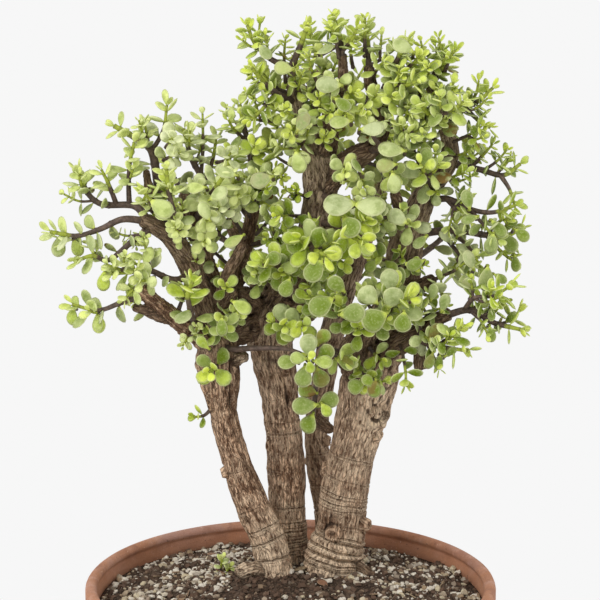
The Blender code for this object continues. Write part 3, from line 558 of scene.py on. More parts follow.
# Large leaves that face the front: where each lies across and up as seen from the camera at
# the middle of the pot, how far back it is, the way it points in degrees, its length, how
# young it is, how waxy and painted pale with highlight, how brown-spotted, and sometimes how far it tips
# up.
FRONT_LEAVES = {
    "leaves_centre": [
        (38, 436, -40, 196, 25, 0, 0.6, 0, 1), (60, 435, -40, -18, 25, 0, 0.6, 0, 0.9),
        (82, 428, -30, 150, 17, 0, 0.6, 0), (46, 422, -44, -50, 18, -0.2, 0, 0),
        (19, 387, -46, -122, 20, -0.2, 0, 0), (24, 360, -48, 212, 21, -0.3, 0, 0),
        (48, 354, -48, 10, 21, -0.4, 0.1, 0), (65, 349, -52, 205, 21, -0.2, 0, 0),
        (60, 367, -46, 140, 18, 0, 0.55, 0), (78, 366, -42, 72, 19, 0, 0.4, 0),
        (76, 379, -36, 95, 19, 0, 0.5, 0), (87, 347, -50, -95, 16, 0.1, 0, 0),
        (36, 377, -44, 130, 17, -0.3, 0, 0), (-3, 374, -30, -110, 15, -0.1, 0, 0),
        (14, 328, -52, 92, 18, 0.15, 0.5, 0), (-2, 315, -50, 182, 16, 0.1, 0.1, 0),
        (6, 318, -56, 176, 13, 0.55, 0.2, 0), (25, 315, -55, -8, 15, 0.55, 0.2, 0),
        (10, 304, -50, 262, 17, 0.15, 0.1, 0), (15, 311, -58, -80, 10, 0.9, 0, 0),
        (16, 320, -58, 60, 8, 0.9, 0, 0), (27, 323, -44, 40, 15, 0, 0, 0.2),
        (23, 303, -40, -70, 16, 0, 0, 0.5), (25, 335, -40, 60, 15, 0, 0, 0.6),
        (43, 315, -30, -15, 16, 0, 0, 0.5), (11, 280, -36, 186, 20, 0.1, 0.1, 0),
        (29, 284, -30, 30, 18, 0, 0.05, 0), (27, 277, -36, -60, 12, 0.5, 0, 0),
        (14, 266, -34, 245, 17, -0.1, 0, 0), (13, 292, -30, 165, 15, -0.1, 0, 1),
        (51, 296, -30, 200, 14, 0, 0, 0), (65, 294, -30, -100, 14, 0.1, 0, 0.8),
        (60, 300, -30, 150, 12, 0.1, 0, 0), (-14, 396, -30, 20, 14, 0, 0, 0),
    ],
    "leaves_left": [
        (-99, 436, -34, -35, 20, 0, 0.4, 0), (-66, 433, -22, 120, 17, 0.05, 0.6, 0),
        (-22, 457, -20, 200, 18, 0, 0.5, 0.3), (-49, 462, -20, 172, 17, 0, 0.5, 0),
        (-72, 451, -20, 185, 15, 0.1, 0.4, 0), (-38, 359, -30, -30, 17, 0.1, 0.2, 0),
        (-53, 343, -32, -90, 15, 0.1, 0, 0), (-148, 346, -24, -80, 16, 0.1, 0, 0),
        (-169, 351, -24, -102, 15, 0.1, 0.1, 0), (-178, 406, -14, -98, 18, 0, 0.4, 0),
        (-164, 405, -14, -68, 15, 0, 0.2, 0), (-144, 379, -22, -95, 16, 0.1, 0, 0),
        (-123, 372, -20, -88, 15, 0, 0.1, 0), (-55, 446, -22, 30, 17, 0.1, 0.6, 0),
        (-43, 410, -26, 215, 17, 0, 0.3, 0.2), (-68, 330, -28, 135, 13, 0.1, 0, 0),
    ],
    "leaves_top": [
        (29, 529, -18, 182, 20, 0, 0.5, 0), (62, 495, -24, -8, 19, 0.05, 0.65, 0),
        (77, 480, -24, 178, 21, 0.05, 0.65, 0), (73, 468, -24, 190, 16, 0, 0.4, 0.4),
        (79, 455, -26, -80, 17, 0, 0.5, 0), (6, 471, -14, -75, 18, 0, 0.4, 0),
        (9, 501, -16, 60, 17, 0, 0.4, 0.4), (38, 501, -20, 190, 17, 0, 0.4, 0.2),
        (39, 515, -20, -40, 15, -0.1, 0, 0), (-5, 542, -4, 172, 15, 0, 0.4, 0.2),
        (-20, 554, 0, -60, 14, 0, 0.4, 0), (26, 555, -4, 15, 15, 0, 0.4, 0),
        (85, 558, -4, 155, 18, 0, 0.5, 0), (50, 467, -26, 140, 14, 0.2, 0.2, 0),
    ],
    "leaves_right": [
        (135, 442, -8, 105, 16, -0.1, 0.25, 0), (137, 427, -8, 200, 14, -0.1, 0.2, 0),
        (154, 408, -10, -100, 17, -0.05, 0.3, 0), (159, 420, -8, -50, 17, -0.15, 0.1, 0),
        (137, 395, -14, 120, 17, 0, 0.9, 0.15), (150, 381, -14, -100, 20, -0.15, 0.4, 0.1),
        (138, 375, -16, 100, 17, 0, 0.6, 0.3), (155, 353, -18, -90, 11, -0.1, 0.1, 0),
        (155, 337, -20, -80, 14, 0, 0, 0), (161, 381, -12, -35, 12, 0, 0.1, 0),
        (165, 364, -22, 180, 10, 0.6, 0, 0), (108, 316, -28, -110, 14, -0.1, 0.1, 0.4),
        (115, 315, -24, -100, 13, -0.2, 0, 0), (111, 339, -26, 60, 15, -0.1, 0.1, 0.7),
        (124, 323, -26, 40, 11, 0.1, 0, 0), (173, 393, 20, -80, 14, 0, 0, 0),
        (168, 409, 16, -60, 17, -0.1, 0.1, 0), (177, 415, 10, -40, 14, 0.1, 0, 0),
        (118, 362, -20, 80, 15, -0.1, 0.4, 0), (110, 370, -14, 75, 14, -0.1, 0.4, 0),
        (96, 392, -16, 205, 15, 0, 0.1, 0), (100, 409, -10, -130, 14, 0, 0.3, 0),
    ],
}
# The leaves' length as a share of the usual one.
LARGER = spread({
    1.1: "shoot_centre_band shoot_front_right",
    0.95: "spray_right spray_centre",
    0.88: "spray_top spray_left",
})
# How far a shoot's first leaf pair is turned from upright, in degrees.
SQUARE = spread({
    40: "shoot_left_trunk",
    30: "shoot_front_right",
    20: "shoot_left_base",
    0: "shoot_centre_band",
})
# How much younger than usual a shoot's leaves are.
YOUTH = spread({
    0.3: "spray_left",
    0.25: "shoot_inner_top shoot_left_front",
    0.2: "spray_top shoot_left_up shoot_left_top shoot_inner_front shoot_centre_yellow",
    0.15: "leaves_left",
    0.1: "sprout_left shoot_crown_top shoot_crown_left shoot_crown_top_right seedling",
    0.05: "shoot_left_tip shoot_left_mid shoot_left_reach",
    -0.08: "shoot_right_under",
    -0.1: "shoot_right_inner shoot_mid_front shoot_right_rear",
    -0.15: "shoot_right_high shoot_right_low shoot_centre_band shoot_front_right",
    -0.18: "leaves_centre",
    -0.22: "shoot_right_mid_high shoot_right_mid",
    -0.25: "spray_right",
    -0.28: "spray_centre",
    -0.3: "leaves_right",
})
# Fallen leaves: x, y, length, the way they point in degrees and how brown they are.
FALLEN_LEAVES = (
    (1, 40, 13, -70, 0.1), (12, 38, 12, -25, 0), (29, 0, 11, 40, 0.85), (70, -20, 10, 120, 0.5),
    (-84, -30, 11, 15, 0.4), (52, 96, 12, 200, 0.3), (-60, 88, 11, 80, 0.7),
)


# --- Shader maths ------------------------------------------------------------------------


class Value:
    """A shader socket that can be used in an expression."""

    def __init__(self, finish, socket):
        self.finish = finish
        self.socket = socket

    def maths(self, operation, first, second):
        return self.finish.node("ShaderNodeMath", {"operation": operation}, {0: first, 1: second})

    def __add__(self, other):
        return self.maths("ADD", self, other)

    def __sub__(self, other):
        return self.maths("SUBTRACT", self, other)

    def __rsub__(self, other):
        return self.maths("SUBTRACT", other, self)

    def __mul__(self, other):
        return self.maths("MULTIPLY", self, other)

    __radd__ = __add__
    __rmul__ = __mul__

    def apart(self):
        """How far it is from the nearest whole number."""
        return self.maths("PINGPONG", self, 0.5)

    def over(self, low, high):
        """0 below low, 1 above high and a smooth step between. High may be the lower one."""
        settings = {"interpolation_type": "SMOOTHSTEP"}
        inputs = {"Value": self, "From Min": min(low, high), "From Max": max(low, high)}
        if low > high:
            inputs.update({"To Min": 1.0, "To Max": 0.0})
        return self.finish.node("ShaderNodeMapRange", settings, inputs)


class Finish:
    """A material and its nodes."""

    def __init__(self, name, roughness=0.6, **constants):
        self.material = bpy.data.materials.new(name)
        self.material.use_nodes = True
        self.tree = self.material.node_tree
        self.shader = self.tree.nodes["Principled BSDF"]
        self.shader.inputs["Roughness"].default_value = roughness
        for socket, value in constants.items():
            self.shader.inputs[socket.replace("_", " ")].default_value = value

    def node(self, kind, settings=None, inputs=None, output=0):
        """Adds a node: its settings first, then its inputs. Returns one output."""
        made = self.tree.nodes.new(kind)
        for setting, value in (settings or {}).items():
            setattr(made, setting, value)
        for socket, value in (inputs or {}).items():
            self.feed(made.inputs[socket], value)
        return Value(self, made.outputs[output])

    def feed(self, socket, value):
        """Links a value to a socket, or sets the socket to a number or colour."""
        if isinstance(value, Value):
            self.tree.links.new(value.socket, socket)
        elif socket.type == "RGBA" and len(value) == 3:
            socket.default_value = (*value, 1.0)
        else:
            socket.default_value = value

    def objects_own(self):
        """Places in the object's own coordinates, in metres."""
        return self.node("ShaderNodeTexCoord", output=3)

    def carried(self, name):
        """A vector that the mesh carries at its points, and its three parts."""
        vector = self.node("ShaderNodeAttribute", {"attribute_name": name}, output=1)
        parts = self.node("ShaderNodeSeparateXYZ", inputs={0: vector})
        outputs = parts.socket.node.outputs
        return vector, [Value(self, outputs[number]) for number in range(3)]

    def stretched(self, vector, share):
        """Coordinates made longer or shorter along each axis."""
        return self.node("ShaderNodeVectorMath", {"operation": "MULTIPLY"}, {0: vector, 1: share})

    def shifted(self, vector, by, amount):
        """Coordinates moved by a colour's three parts."""
        centred = self.node("ShaderNodeVectorMath", {"operation": "SUBTRACT"}, {0: by, 1: (0.5, 0.5, 0.5)})
        moved = self.node("ShaderNodeVectorMath", {"operation": "SCALE"}, {0: centred, 3: amount})
        return self.node("ShaderNodeVectorMath", {"operation": "ADD"}, {0: vector, 1: moved})

    def noise(self, vector, scale, detail, roughness=0.55, output=0):
        inputs = {"Vector": vector, "Scale": scale, "Detail": detail, "Roughness": roughness}
        return self.node("ShaderNodeTexNoise", inputs=inputs, output=output)

    def cells(self, vector, scale, feature="F1"):
        inputs = {"Vector": vector, "Scale": scale}
        return self.node("ShaderNodeTexVoronoi", {"feature": feature}, inputs)

    def mix(self, share, first, second):
        """One colour turning into another."""
        return self.node("ShaderNodeMix", {"data_type": "RGBA"}, {0: share, 6: first, 7: second}, output=2)

    def layers(self, colour, *layers):
        """A colour with others laid over it in turn, each given as its share and its colour."""
        for share_laid, tone_laid in layers:
            colour = self.mix(share_laid, colour, tone_laid)
        return colour

    def colour(self, colour, *layers):
        """Gives the surface its colour, as layers() does."""
        self.feed(self.shader.inputs["Base Color"], self.layers(colour, *layers))

    def rough(self, value):
        self.feed(self.shader.inputs["Roughness"], value)

    def bump(self, height, depth):
        """Raises the surface by a height between 0 and 1 times a depth in metres."""
        raised = self.node("ShaderNodeBump", inputs={"Distance": depth, "Height": height})
        self.feed(self.shader.inputs["Normal"], raised)


class Sky(Finish):
    """The world's nodes."""

    def __init__(self, name):
        self.world = bpy.data.worlds.new(name)
        self.world.use_nodes = True
        self.tree = self.world.node_tree


# --- Modelling ---------------------------------------------------------------------------


def take_only(piece):
    """Selects one object and nothing else."""
    bpy.ops.object.select_all(action="DESELECT")
    piece.select_set(True)
    bpy.context.view_layer.objects.active = piece


def added(name):
    """The object that a primitive operator has just made, named and alone selected."""
    piece = bpy.context.active_object
    piece.name = name
    piece.data.name = name
    take_only(piece)
    return piece


def edit_all():
    """Opens the active mesh for editing, with all of it selected."""
    bpy.ops.object.mode_set(mode="EDIT")
    bpy.ops.mesh.select_all(action="SELECT")


def close_edit():
    """Turns every face outward and ends the editing."""
    bpy.ops.mesh.select_all(action="SELECT")
    bpy.ops.mesh.normals_make_consistent(inside=False)
    bpy.ops.object.mode_set(mode="OBJECT")


def finish_modifier(piece, kind, **settings):
    """Adds a modifier and applies it."""
    step = piece.modifiers.new(kind.title(), kind)
    for setting, value in settings.items():
        setattr(step, setting, value)
    take_only(piece)
    bpy.ops.object.modifier_apply(modifier=step.name)


def into_mesh(piece):
    """Moves an object's place, turn and size into its mesh."""
    take_only(piece)
    bpy.ops.object.transform_apply(location=True, rotation=True, scale=True)


def places_of(mesh, kind="co"):
    """A mesh's points, or their normals, as rows of x, y and z."""
    flat = np.empty(len(mesh.vertices) * 3)
    mesh.vertices.foreach_get(kind, flat)
    return flat.reshape(-1, 3)


def move_to(mesh, places):
    mesh.vertices.foreach_set("co", np.ascontiguousarray(places, np.float32).reshape(-1))
    mesh.update()


def carry(mesh, name, values):
    """Stores three numbers for each point of a mesh, for its material to read."""
    attribute = mesh.attributes.new(name, "FLOAT_VECTOR", "POINT")
    attribute.data.foreach_set("vector", np.ascontiguousarray(values, np.float32).reshape(-1))


def object_from(name, places, faces):
    """A mesh object from points and faces."""
    mesh = bpy.data.meshes.new(name)
    mesh.from_pydata(places, [], faces)
    piece = bpy.data.objects.new(name, mesh)
    bpy.context.scene.collection.objects.link(piece)
    return piece


def stand_in_for(piece, nodes=()):
    """Hands a finished piece to the frame."""
    piece.data.shade_smooth()
    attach(piece, BODY)
    if nodes:
        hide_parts(*nodes)


LATTICE = np.random.default_rng(20).uniform(-1, 1, (32, 32, 32))


def swell(places):
    """Smooth hills and hollows between -1 and 1, one unit apart."""
    cell = np.floor(places).astype(int)
    part = places - cell
    part = part * part * (3 - 2 * part)
    total = np.zeros(len(places))
    for corner in itertools.product((0, 1), repeat=3):
        weight = np.prod(np.where(corner, part, 1 - part), axis=1)
        x, y, z = ((cell + corner) % 32).T
        total += weight * LATTICE[x, y, z]
    return total


def crumple(places, octaves=3):
    """Hills with smaller hills on them."""
    return sum(swell(places * 2**step + 7.3 * step) / 2**step for step in range(octaves))


def smooth_route(points, spacing=1.5):
    """Close places and radii in metres on a smooth line through points in millimetres."""
    knots = np.array(points, float) * MM
    ends = np.vstack([2 * knots[0] - knots[1], knots, 2 * knots[-1] - knots[-2]])
    line = []
    for a, b, c, d in zip(ends, ends[1:], ends[2:], ends[3:]):
        count = max(2, round(np.linalg.norm(c[:3] - b[:3]) / (spacing * MM)))
        t = np.arange(count)[:, None] / count
        bend = (2 * a - 5 * b + 4 * c - d) * t**2 + (3 * b - a - 3 * c + d) * t**3
        line.append((2 * b + (c - a) * t + bend) / 2)
    return np.vstack([*line, knots[-1:]])


def unit(vectors):
    return vectors / np.maximum(np.linalg.norm(vectors, axis=-1, keepdims=True), 1e-12)


def frames_along(centres):
    """At each place of a line, a side and an up direction square to it that turn little, and its run."""
    along = unit(np.gradient(centres, axis=0))
    first = np.cross(along[0], (0.0, 0.0, 1.0) if abs(along[0][2]) < 0.9 else (0.0, -1.0, 0.0))
    side = [unit(first)]
    for step in along[1:]:
        side.append(unit(side[-1] - step * side[-1].dot(step)))
    side = np.array(side)
    return side, np.cross(along, side), along


def run_length(centres):
    """How far along a line each of its places is."""
    return np.concatenate([[0], np.cumsum(np.linalg.norm(np.diff(centres, axis=0), axis=1))])


def round_skin(line, sides):
    """The points and faces of a closed round skin on a line of places and radii, its ends domed."""
    centres, radii = line[:, :3], line[:, 3]
    side, up, along = frames_along(centres)
    turn = np.arange(sides) * math.tau / sides
    spokes = np.cos(turn)[:, None] * side[:, None] + np.sin(turn)[:, None] * up[:, None]
    rings = centres[:, None] + radii[:, None, None] * spokes
    poles = [centres[0] - along[0] * radii[0] * 0.5, centres[-1] + along[-1] * radii[-1] * 0.5]
    places = np.vstack([rings.reshape(-1, 3), poles])
    count = len(line)
    faces = []
    for ring in range(count - 1):
        for number in range(sides):
            after = (number + 1) % sides
            low = ring * sides
            faces.append((low + number, low + after, low + sides + after, low + sides + number))
    last = (count - 1) * sides
    for number in range(sides):
        after = (number + 1) % sides
        faces.append((count * sides, after, number))
        faces.append((count * sides + 1, last + number, last + after))
    return places, faces


class Bunch:
    """Gathers many small shapes before they become one mesh."""

    def __init__(self):
        self.places = []
        self.faces = []
        self.finishes = []
        self.form = []
        self.tint = []
        self.count = 0

    def add(self, places, faces, form, tint, finish=0):
        """Adds a shape with what its points carry and the number of its material."""
        start = self.count
        self.places.append(places)
        self.faces += [tuple(start + corner for corner in face) for face in faces]
        self.finishes += [finish] * len(faces)
        self.form.append(np.broadcast_to(form, places.shape))
        self.tint.append(np.broadcast_to(tint, places.shape))
        self.count += len(places)

    def piece(self, name, looks):
        made = object_from(name, np.vstack(self.places), self.faces)
        carry(made.data, "form", np.vstack(self.form))
        carry(made.data, "tint", np.vstack(self.tint))
        for look in looks:
            made.data.materials.append(look)
        made.data.polygons.foreach_set("material_index", self.finishes)
        return made


# --- Sizes and colours -------------------------------------------------------------------


BACKDROP = (0.93, 0.93, 0.93)


def length(name, description, default):
    return FloatProperty(name=name, description=description, default=default, unit="LENGTH")


def share(name, description, default):
    return FloatProperty(
        name=name, description=description, default=default, min=0, max=1, subtype="FACTOR"
    )


def tone(name, description, default):
    return FloatVectorProperty(
        name=name, description=description, default=default, size=3, min=0, max=1, subtype="COLOR"
    )


class BonsaiBowlSettings(bpy.types.PropertyGroup):
    """The terracotta bowl."""

    lip: length("Lip", "Radius of the rolled lip's half-round", 0.0047)
    band: length("Band", "Height of the straight band under the lip", 0.030)
    step: length("Step", "How far the bowl stands in below the band", 0.006)
    foot: length("Foot", "Radius of the flat foot", 0.100)
    wall: length("Wall", "Thickness of the wall", 0.009)
    floor: length("Floor", "Thickness of the floor", 0.012)
    fullness: FloatProperty(
        name="Fullness", description="Exponent of the side's curve: lower is rounder", default=0.6
    )
    clay: tone("Clay", "Fired clay", (0.50, 0.225, 0.118))
    dusty: tone("Dust", "Weathered clay on the lip and band", (0.62, 0.36, 0.27))
    damp: tone("Damp clay", "Clay near the soil", (0.33, 0.15, 0.08))


class BonsaiSoilSettings(bpy.types.PropertyGroup):
    """The potting soil and its grit."""

    crown: length("Crown", "Height of the soil round the trunks", 0.131)
    edge: length("Edge", "Height of the soil at the wall", 0.1212)
    level: length("Level", "Radius of the level middle", 0.075)
    grains: IntProperty(name="Grains", description="Number of pale grains", default=6600, min=0)
    crumbs: IntProperty(name="Crumbs", description="Number of dark crumbs", default=5200, min=0)
    peat: tone("Peat", "Dark potting mix", (0.092, 0.060, 0.042))
    pumice: tone("Pumice", "Palest grains", (0.84, 0.77, 0.65))
    gravel: tone("Gravel", "Grey and tan grains", (0.40, 0.325, 0.245))


class BonsaiWoodSettings(bpy.types.PropertyGroup):
    """Trunks, boughs and surface roots."""

    mesh: length("Mesh", "Size of the skin's faces", 0.00118)
    bark: tone("Bark", "Old bark of the trunks", (0.53, 0.295, 0.170))
    # Ridge colour: pale old bark, also used as a painted highlight on raised relief.
    ridge_and_highlight: tone("Ridge", "Pale ridges of old bark", (0.93, 0.635, 0.42))
    # Crack colour: dark bark in cracks and creases, with painted shade where the relief is low.
    crack_and_shade: tone("Crack", "Cracks and creases", (0.050, 0.030, 0.020))
    bough: tone("Bough", "Darker bark of the boughs", (0.26, 0.172, 0.108))
    peeled: tone("Peeled", "Wood where bark has peeled", (0.99, 0.77, 0.54))


class BonsaiLeafSettings(bpy.types.PropertyGroup):
    """Twigs and leaves."""

    breadth: share("Breadth", "Width of a leaf as a share of its length", 0.77)
    thickness: share("Thickness", "Thickness of a leaf as a share of its length", 0.155)
    side_twigs: share("Side twigs", "How often a leaf bears a side twig", 0.22)
    green: tone("Green", "Grown leaves", (0.44, 0.56, 0.045))
    old: tone("Old", "Oldest leaves", (0.13, 0.20, 0.008))
    young: tone("Young", "Leaves at the tips", (0.76, 0.86, 0.11))
    # Bloom colour: pale waxy bloom, also used as a painted highlight on leaves facing the light.
    bloom_and_highlight: tone("Bloom", "Pale waxy leaves", (0.85, 0.89, 0.55))
    margin: tone("Margin", "Edge of a leaf", (0.90, 0.93, 0.50))
    blush: tone("Blush", "Brown spots on old leaves", (0.21, 0.13, 0.035))
    stem: tone("Stem", "Green twigs", (0.36, 0.42, 0.045))
    twig: tone("Twig", "Woody twigs", (0.160, 0.104, 0.076))


class BonsaiStageSettings(bpy.types.PropertyGroup):
    """Floor, light and camera."""

    floor: tone("Floor", "Pale floor", BACKDROP)
    key: FloatProperty(name="Key light", description="Main lamp", default=30, unit="POWER")
    fill: FloatProperty(name="Fill light", description="Second lamp", default=8, unit="POWER")
    sky: FloatProperty(name="Sky", description="Even light from all round", default=0.78)
    lens: FloatProperty(name="Lens", description="Camera's focal length", default=120, unit="CAMERA")
    pitch: FloatProperty(
        name="Pitch", description="How far the camera looks down", default=math.radians(10.8),
        subtype="ANGLE",
    )


# --- Finishes ----------------------------------------------------------------------------


def terracotta(settings):
    """Fired clay: dusty on the lip and band, damp near the soil, with pits and rubbed spots."""
    look = Finish("terracotta", 0.8)
    own = look.objects_own()
    _, (dust, damp, _) = look.carried("form")
    clouds = look.noise(own, 16, 4)
    mottle = look.noise(own, 85, 4, 0.6)
    grain = look.noise(own, 900, 3, 0.6)
    pits = look.cells(own, 420)
    speck = look.noise(own, 330, 2)
    streak = look.noise(look.stretched(own, (1.0, 1.0, 2.2)), 34, 4, 0.6)
    stains = look.noise(own, 52, 4, 0.7)
    pale = (clouds.over(0.38, 0.66) * 0.6 + mottle.over(0.42, 0.68) * 0.55) * dust
    look.colour(
        settings.clay,
        (pale, settings.dusty),
        (dust.over(0.7, 1.0) * clouds.over(0.5, 0.62) * 0.5, (0.42, 0.235, 0.195)),
        (dust.over(0.3, 0.8) * stains.over(0.52, 0.64) * 0.55, (0.34, 0.15, 0.095)),
        (damp * (0.55 + mottle * 0.5), settings.damp),
        (streak.over(0.52, 0.70) * 0.45, (0.30, 0.125, 0.065)),
        (streak.over(0.44, 0.30) * 0.35, (0.60, 0.33, 0.20)),
        (grain.over(0.35, 0.75) * 0.28, (0.24, 0.10, 0.058)),
        (speck.over(0.66, 0.74) * 0.6, (0.13, 0.065, 0.042)),
        (speck.over(0.33, 0.26) * 0.6, (0.70, 0.50, 0.39)),
    )
    look.rough(0.72 + mottle * 0.18)
    look.bump(grain * 0.45 + mottle * 0.35 + pits.over(0.05, 0.22) * 0.2, 0.0007)
    return look.material


def potting_soil(settings):
    """Dark crumbly mix of peat and bark."""
    look = Finish("potting_soil", 0.95, Specular_IOR_Level=0.15)
    own = look.objects_own()
    clods = look.noise(own, 170, 4, 0.6)
    fine = look.noise(own, 700, 3, 0.6)
    fleck = look.cells(own, 420)
    look.colour(
        (0.032, 0.020, 0.013),
        (clods.over(0.35, 0.7), settings.peat),
        (fine.over(0.5, 0.72) * 0.7, (0.20, 0.14, 0.10)),
        (fleck.over(0.2, 0.08) * 0.55, (0.36, 0.29, 0.21)),
    )
    look.bump(clods * 0.5 + fine * 0.5, 0.003)
    return look.material


def grit_stone(settings):
    """Grains of pumice, gravel and bark, each with its own tone."""
    look = Finish("grit_stone", 0.9, Specular_IOR_Level=0.2)
    own = look.objects_own()
    _, (paleness, warmth, shade) = look.carried("tint")
    pores = look.noise(own, 1100, 3, 0.6)
    stain = look.noise(own, 260, 3)
    stone = look.layers(
        settings.gravel,
        (warmth.over(0.2, 0.8), (0.40, 0.28, 0.17)),
        (shade * 0.5, (0.16, 0.13, 0.11)),
    )
    pale = look.mix(warmth.over(0.5, 0.9), settings.pumice, (0.66, 0.56, 0.38))
    bark_bit = look.mix(warmth, settings.peat, (0.15, 0.088, 0.058))
    look.colour(
        stone,
        (paleness.over(0.45, 0.75), pale),
        (paleness.over(0.32, 0.24), bark_bit),
        (stain.over(0.45, 0.7) * 0.35, (0.20, 0.15, 0.11)),
        (pores.over(0.50, 0.3) * 0.35, (0.13, 0.095, 0.07)),
    )
    look.bump(pores, 0.0006)
    return look.material


def bark(settings):
    """Stringy bark that follows the limb: warm on the trunks, darker on the boughs, with painted shade in
    its cracks and ring creases and painted highlights on its ridges and crease lips.
    """
    look = Finish("bark", 0.9, Specular_IOR_Level=0.15)
    grain, _ = look.carried("grain")
    _, (relief, warmth, peeled) = look.carried("bark")
    _, (turns, spacing, cut) = look.carried("rings")
    wander = look.noise(grain, 90, 2, output=1)
    bent = look.shifted(grain, wander, 0.0035)
    plates = look.cells(look.stretched(bent, (1.0, 1.0, 0.2)), 430, "DISTANCE_TO_EDGE")
    strings = look.noise(look.stretched(bent, (1.0, 1.0, 0.22)), 480, 5, 0.72)
    fibre = look.noise(look.stretched(bent, (1.0, 1.0, 0.35)), 1000, 3, 0.6)
    flakes = look.noise(look.stretched(grain, (1.0, 1.0, 0.6)), 400, 3, 0.65)
    clouds = look.noise(look.stretched(grain, (1.0, 1.0, 0.5)), 80, 4, 0.6)
    # Ring creases: a painted shadow along each crease line (split) and a painted highlight on the lips
    # beside it (lip).
    ring = turns.apart() * spacing + (flakes - 0.5) * 1.1
    split = ring.over(0.95, 0.10) * cut * strings.over(0.30, 0.50)
    lip = ring.over(0.6, 1.1) * ring.over(2.2, 1.2) * cut
    dark = (0.125, 0.062, 0.033)
    trunk = look.layers(
        dark,
        (strings.over(0.43, 0.54), settings.bark),
        (fibre.over(0.56, 0.40) * 0.85, dark),
        (strings.over(0.51, 0.60) * 0.9, settings.ridge_and_highlight),
        (flakes.over(0.52, 0.65) * 0.7, settings.ridge_and_highlight),
        (clouds.over(0.56, 0.40) * 0.75, (0.165, 0.086, 0.048)),
        (clouds.over(0.50, 0.68) * 0.35, settings.ridge_and_highlight),
        (flakes.over(0.60, 0.72) * 0.6, settings.peeled),
    )
    deep = tuple(0.36 * part for part in settings.bough)
    limb = look.layers(
        deep,
        (strings.over(0.38, 0.58), settings.bough),
        (fibre.over(0.54, 0.36) * 0.5, deep),
        (flakes.over(0.54, 0.70) * 0.75, (0.40, 0.30, 0.215)),
        (clouds.over(0.50, 0.66) * 0.4, (0.33, 0.24, 0.165)),
    )
    look.colour(
        limb,
        (warmth, trunk),
        # Raised relief turns pale: pale old bark and a painted highlight on the ridges.
        (relief.over(0.58, 0.74) * 0.6 * warmth, settings.ridge_and_highlight),
        (peeled * flakes.over(0.40, 0.52), settings.peeled),
        # Painted highlight on the lips of the ring creases.
        (lip * 0.7, settings.peeled),
        (plates.over(0.11, 0.02) * clouds.over(0.36, 0.54) * 0.5, (0.10, 0.058, 0.034)),
        (cut * strings.over(0.38, 0.56) * 0.8, settings.peeled),
        # Low relief darkens: dark bark and painted shade in cracks, furrows, knot pits and crease hollows.
        (relief.over(0.34, 0.12) * 0.85, settings.crack_and_shade),
        # Painted shadow in the ring creases.
        (split * 0.5, (0.15, 0.082, 0.046)),
    )
    look.rough(0.78 + flakes * 0.2)
    height = strings * 0.4 + fibre * 0.2 + flakes * 0.25 + plates.over(0.0, 0.16) * 0.35
    look.bump(height + (lip - split) * 0.4, 0.0034)
    return look.material


def leaf_flesh(settings):
    """A smooth fleshy leaf: pale margin, yellow foot, mottled face, waxy bloom with a painted highlight,
    and sometimes a brown spot.
    """
    look = Finish("leaf_flesh", 0.42, Specular_IOR_Level=0.12)
    own = look.objects_own()
    _, (rim, along, upper) = look.carried("form")
    _, (youth, bloom_and_highlight, blush) = look.carried("tint")
    mottle = look.noise(own, 130, 3, 0.5)
    fine = look.noise(own, 620, 3, 0.6)
    look.colour(
        settings.old,
        (youth.over(-0.1, 0.4), settings.green),
        (youth.over(0.4, 1.0), settings.young),
        # Waxy bloom, and a painted highlight on leaves set pale where they face the light.
        (bloom_and_highlight * (0.6 + mottle * 0.6), settings.bloom_and_highlight),
        (mottle.over(0.6, 0.35) * 0.45, settings.old),
        (fine.over(0.48, 0.74) * 0.2, settings.margin),
        (rim.over(0.35, 0.90) * 0.12, settings.margin),
        (rim.over(0.84, 0.94) * (0.20 + 0.6 * mottle), settings.margin),
        (along.over(0.24, 0.04) * 0.7, settings.young),
        ((1 - upper) * 0.04, settings.bloom_and_highlight),
        (blush * mottle.over(0.42, 0.6), settings.blush),
    )
    look.rough(0.36 + mottle * 0.2)
    look.bump(fine * 0.4 + mottle * 0.6, 0.0004)
    return look.material


def twig_bark(settings):
    """Twigs: green at the growing end, brown and ringed below."""
    look = Finish("twig_bark", 0.65)
    own = look.objects_own()
    _, (greenness, ring, _) = look.carried("tint")
    mottle = look.noise(own, 330, 3, 0.6)
    deep = tuple(0.45 * part for part in settings.twig)
    brown = look.layers(
        deep,
        (mottle.over(0.35, 0.7), settings.twig),
        (mottle.over(0.62, 0.8) * 0.6, (0.27, 0.20, 0.15)),
    )
    green = (greenness + mottle * 0.3 - 0.15).over(0.35, 0.7)
    look.colour(
        brown,
        (green, settings.stem),
        (ring * 0.45, (0.05, 0.032, 0.025)),
    )
    look.bump(mottle, 0.0006)
    return look.material


def dry_leaf():
    """Fallen leaves, shrunk and tan."""
    look = Finish("dry_leaf", 0.8)
    own = look.objects_own()
    _, (rim, _, _) = look.carried("form")
    _, (brownness, _, _) = look.carried("tint")
    wrinkles = look.noise(own, 420, 4, 0.65)
    look.colour(
        (0.22, 0.15, 0.085),
        (wrinkles.over(0.3, 0.7), (0.50, 0.40, 0.25)),
        (brownness, (0.24, 0.10, 0.05)),
        (rim.over(0.8, 1.0) * 0.4, (0.56, 0.44, 0.28)),
    )
    look.bump(wrinkles, 0.0012)
    return look.material


# --- The bowl ----------------------------------------------------------------------------


FLAT_FOOT = 0.002  # height up to which the bowl's foot stays true
BORE_FOOT, BORE_TOP = 0.112, 0.122  # heights between which the wall inside is upright
FLARE = 0.127  # height where the wall inside has widened half way to the lip
DAMP_LINE = 0.1295  # height up to which the wall inside is damp
DRAIN_HOLES = 3
DRAIN_RADIUS = 0.007
DRAIN_REACH = 0.058  # how far the drain holes are from the middle


def bowl_side(settings, height):
    """The bowl's outer radius below its band."""
    top = POT_HIGH.z - settings.lip - settings.band
    rise = POT_HIGH.x - settings.step - settings.foot
    return settings.foot + rise * min(max(height, 0.0) / top, 1.0) ** settings.fullness


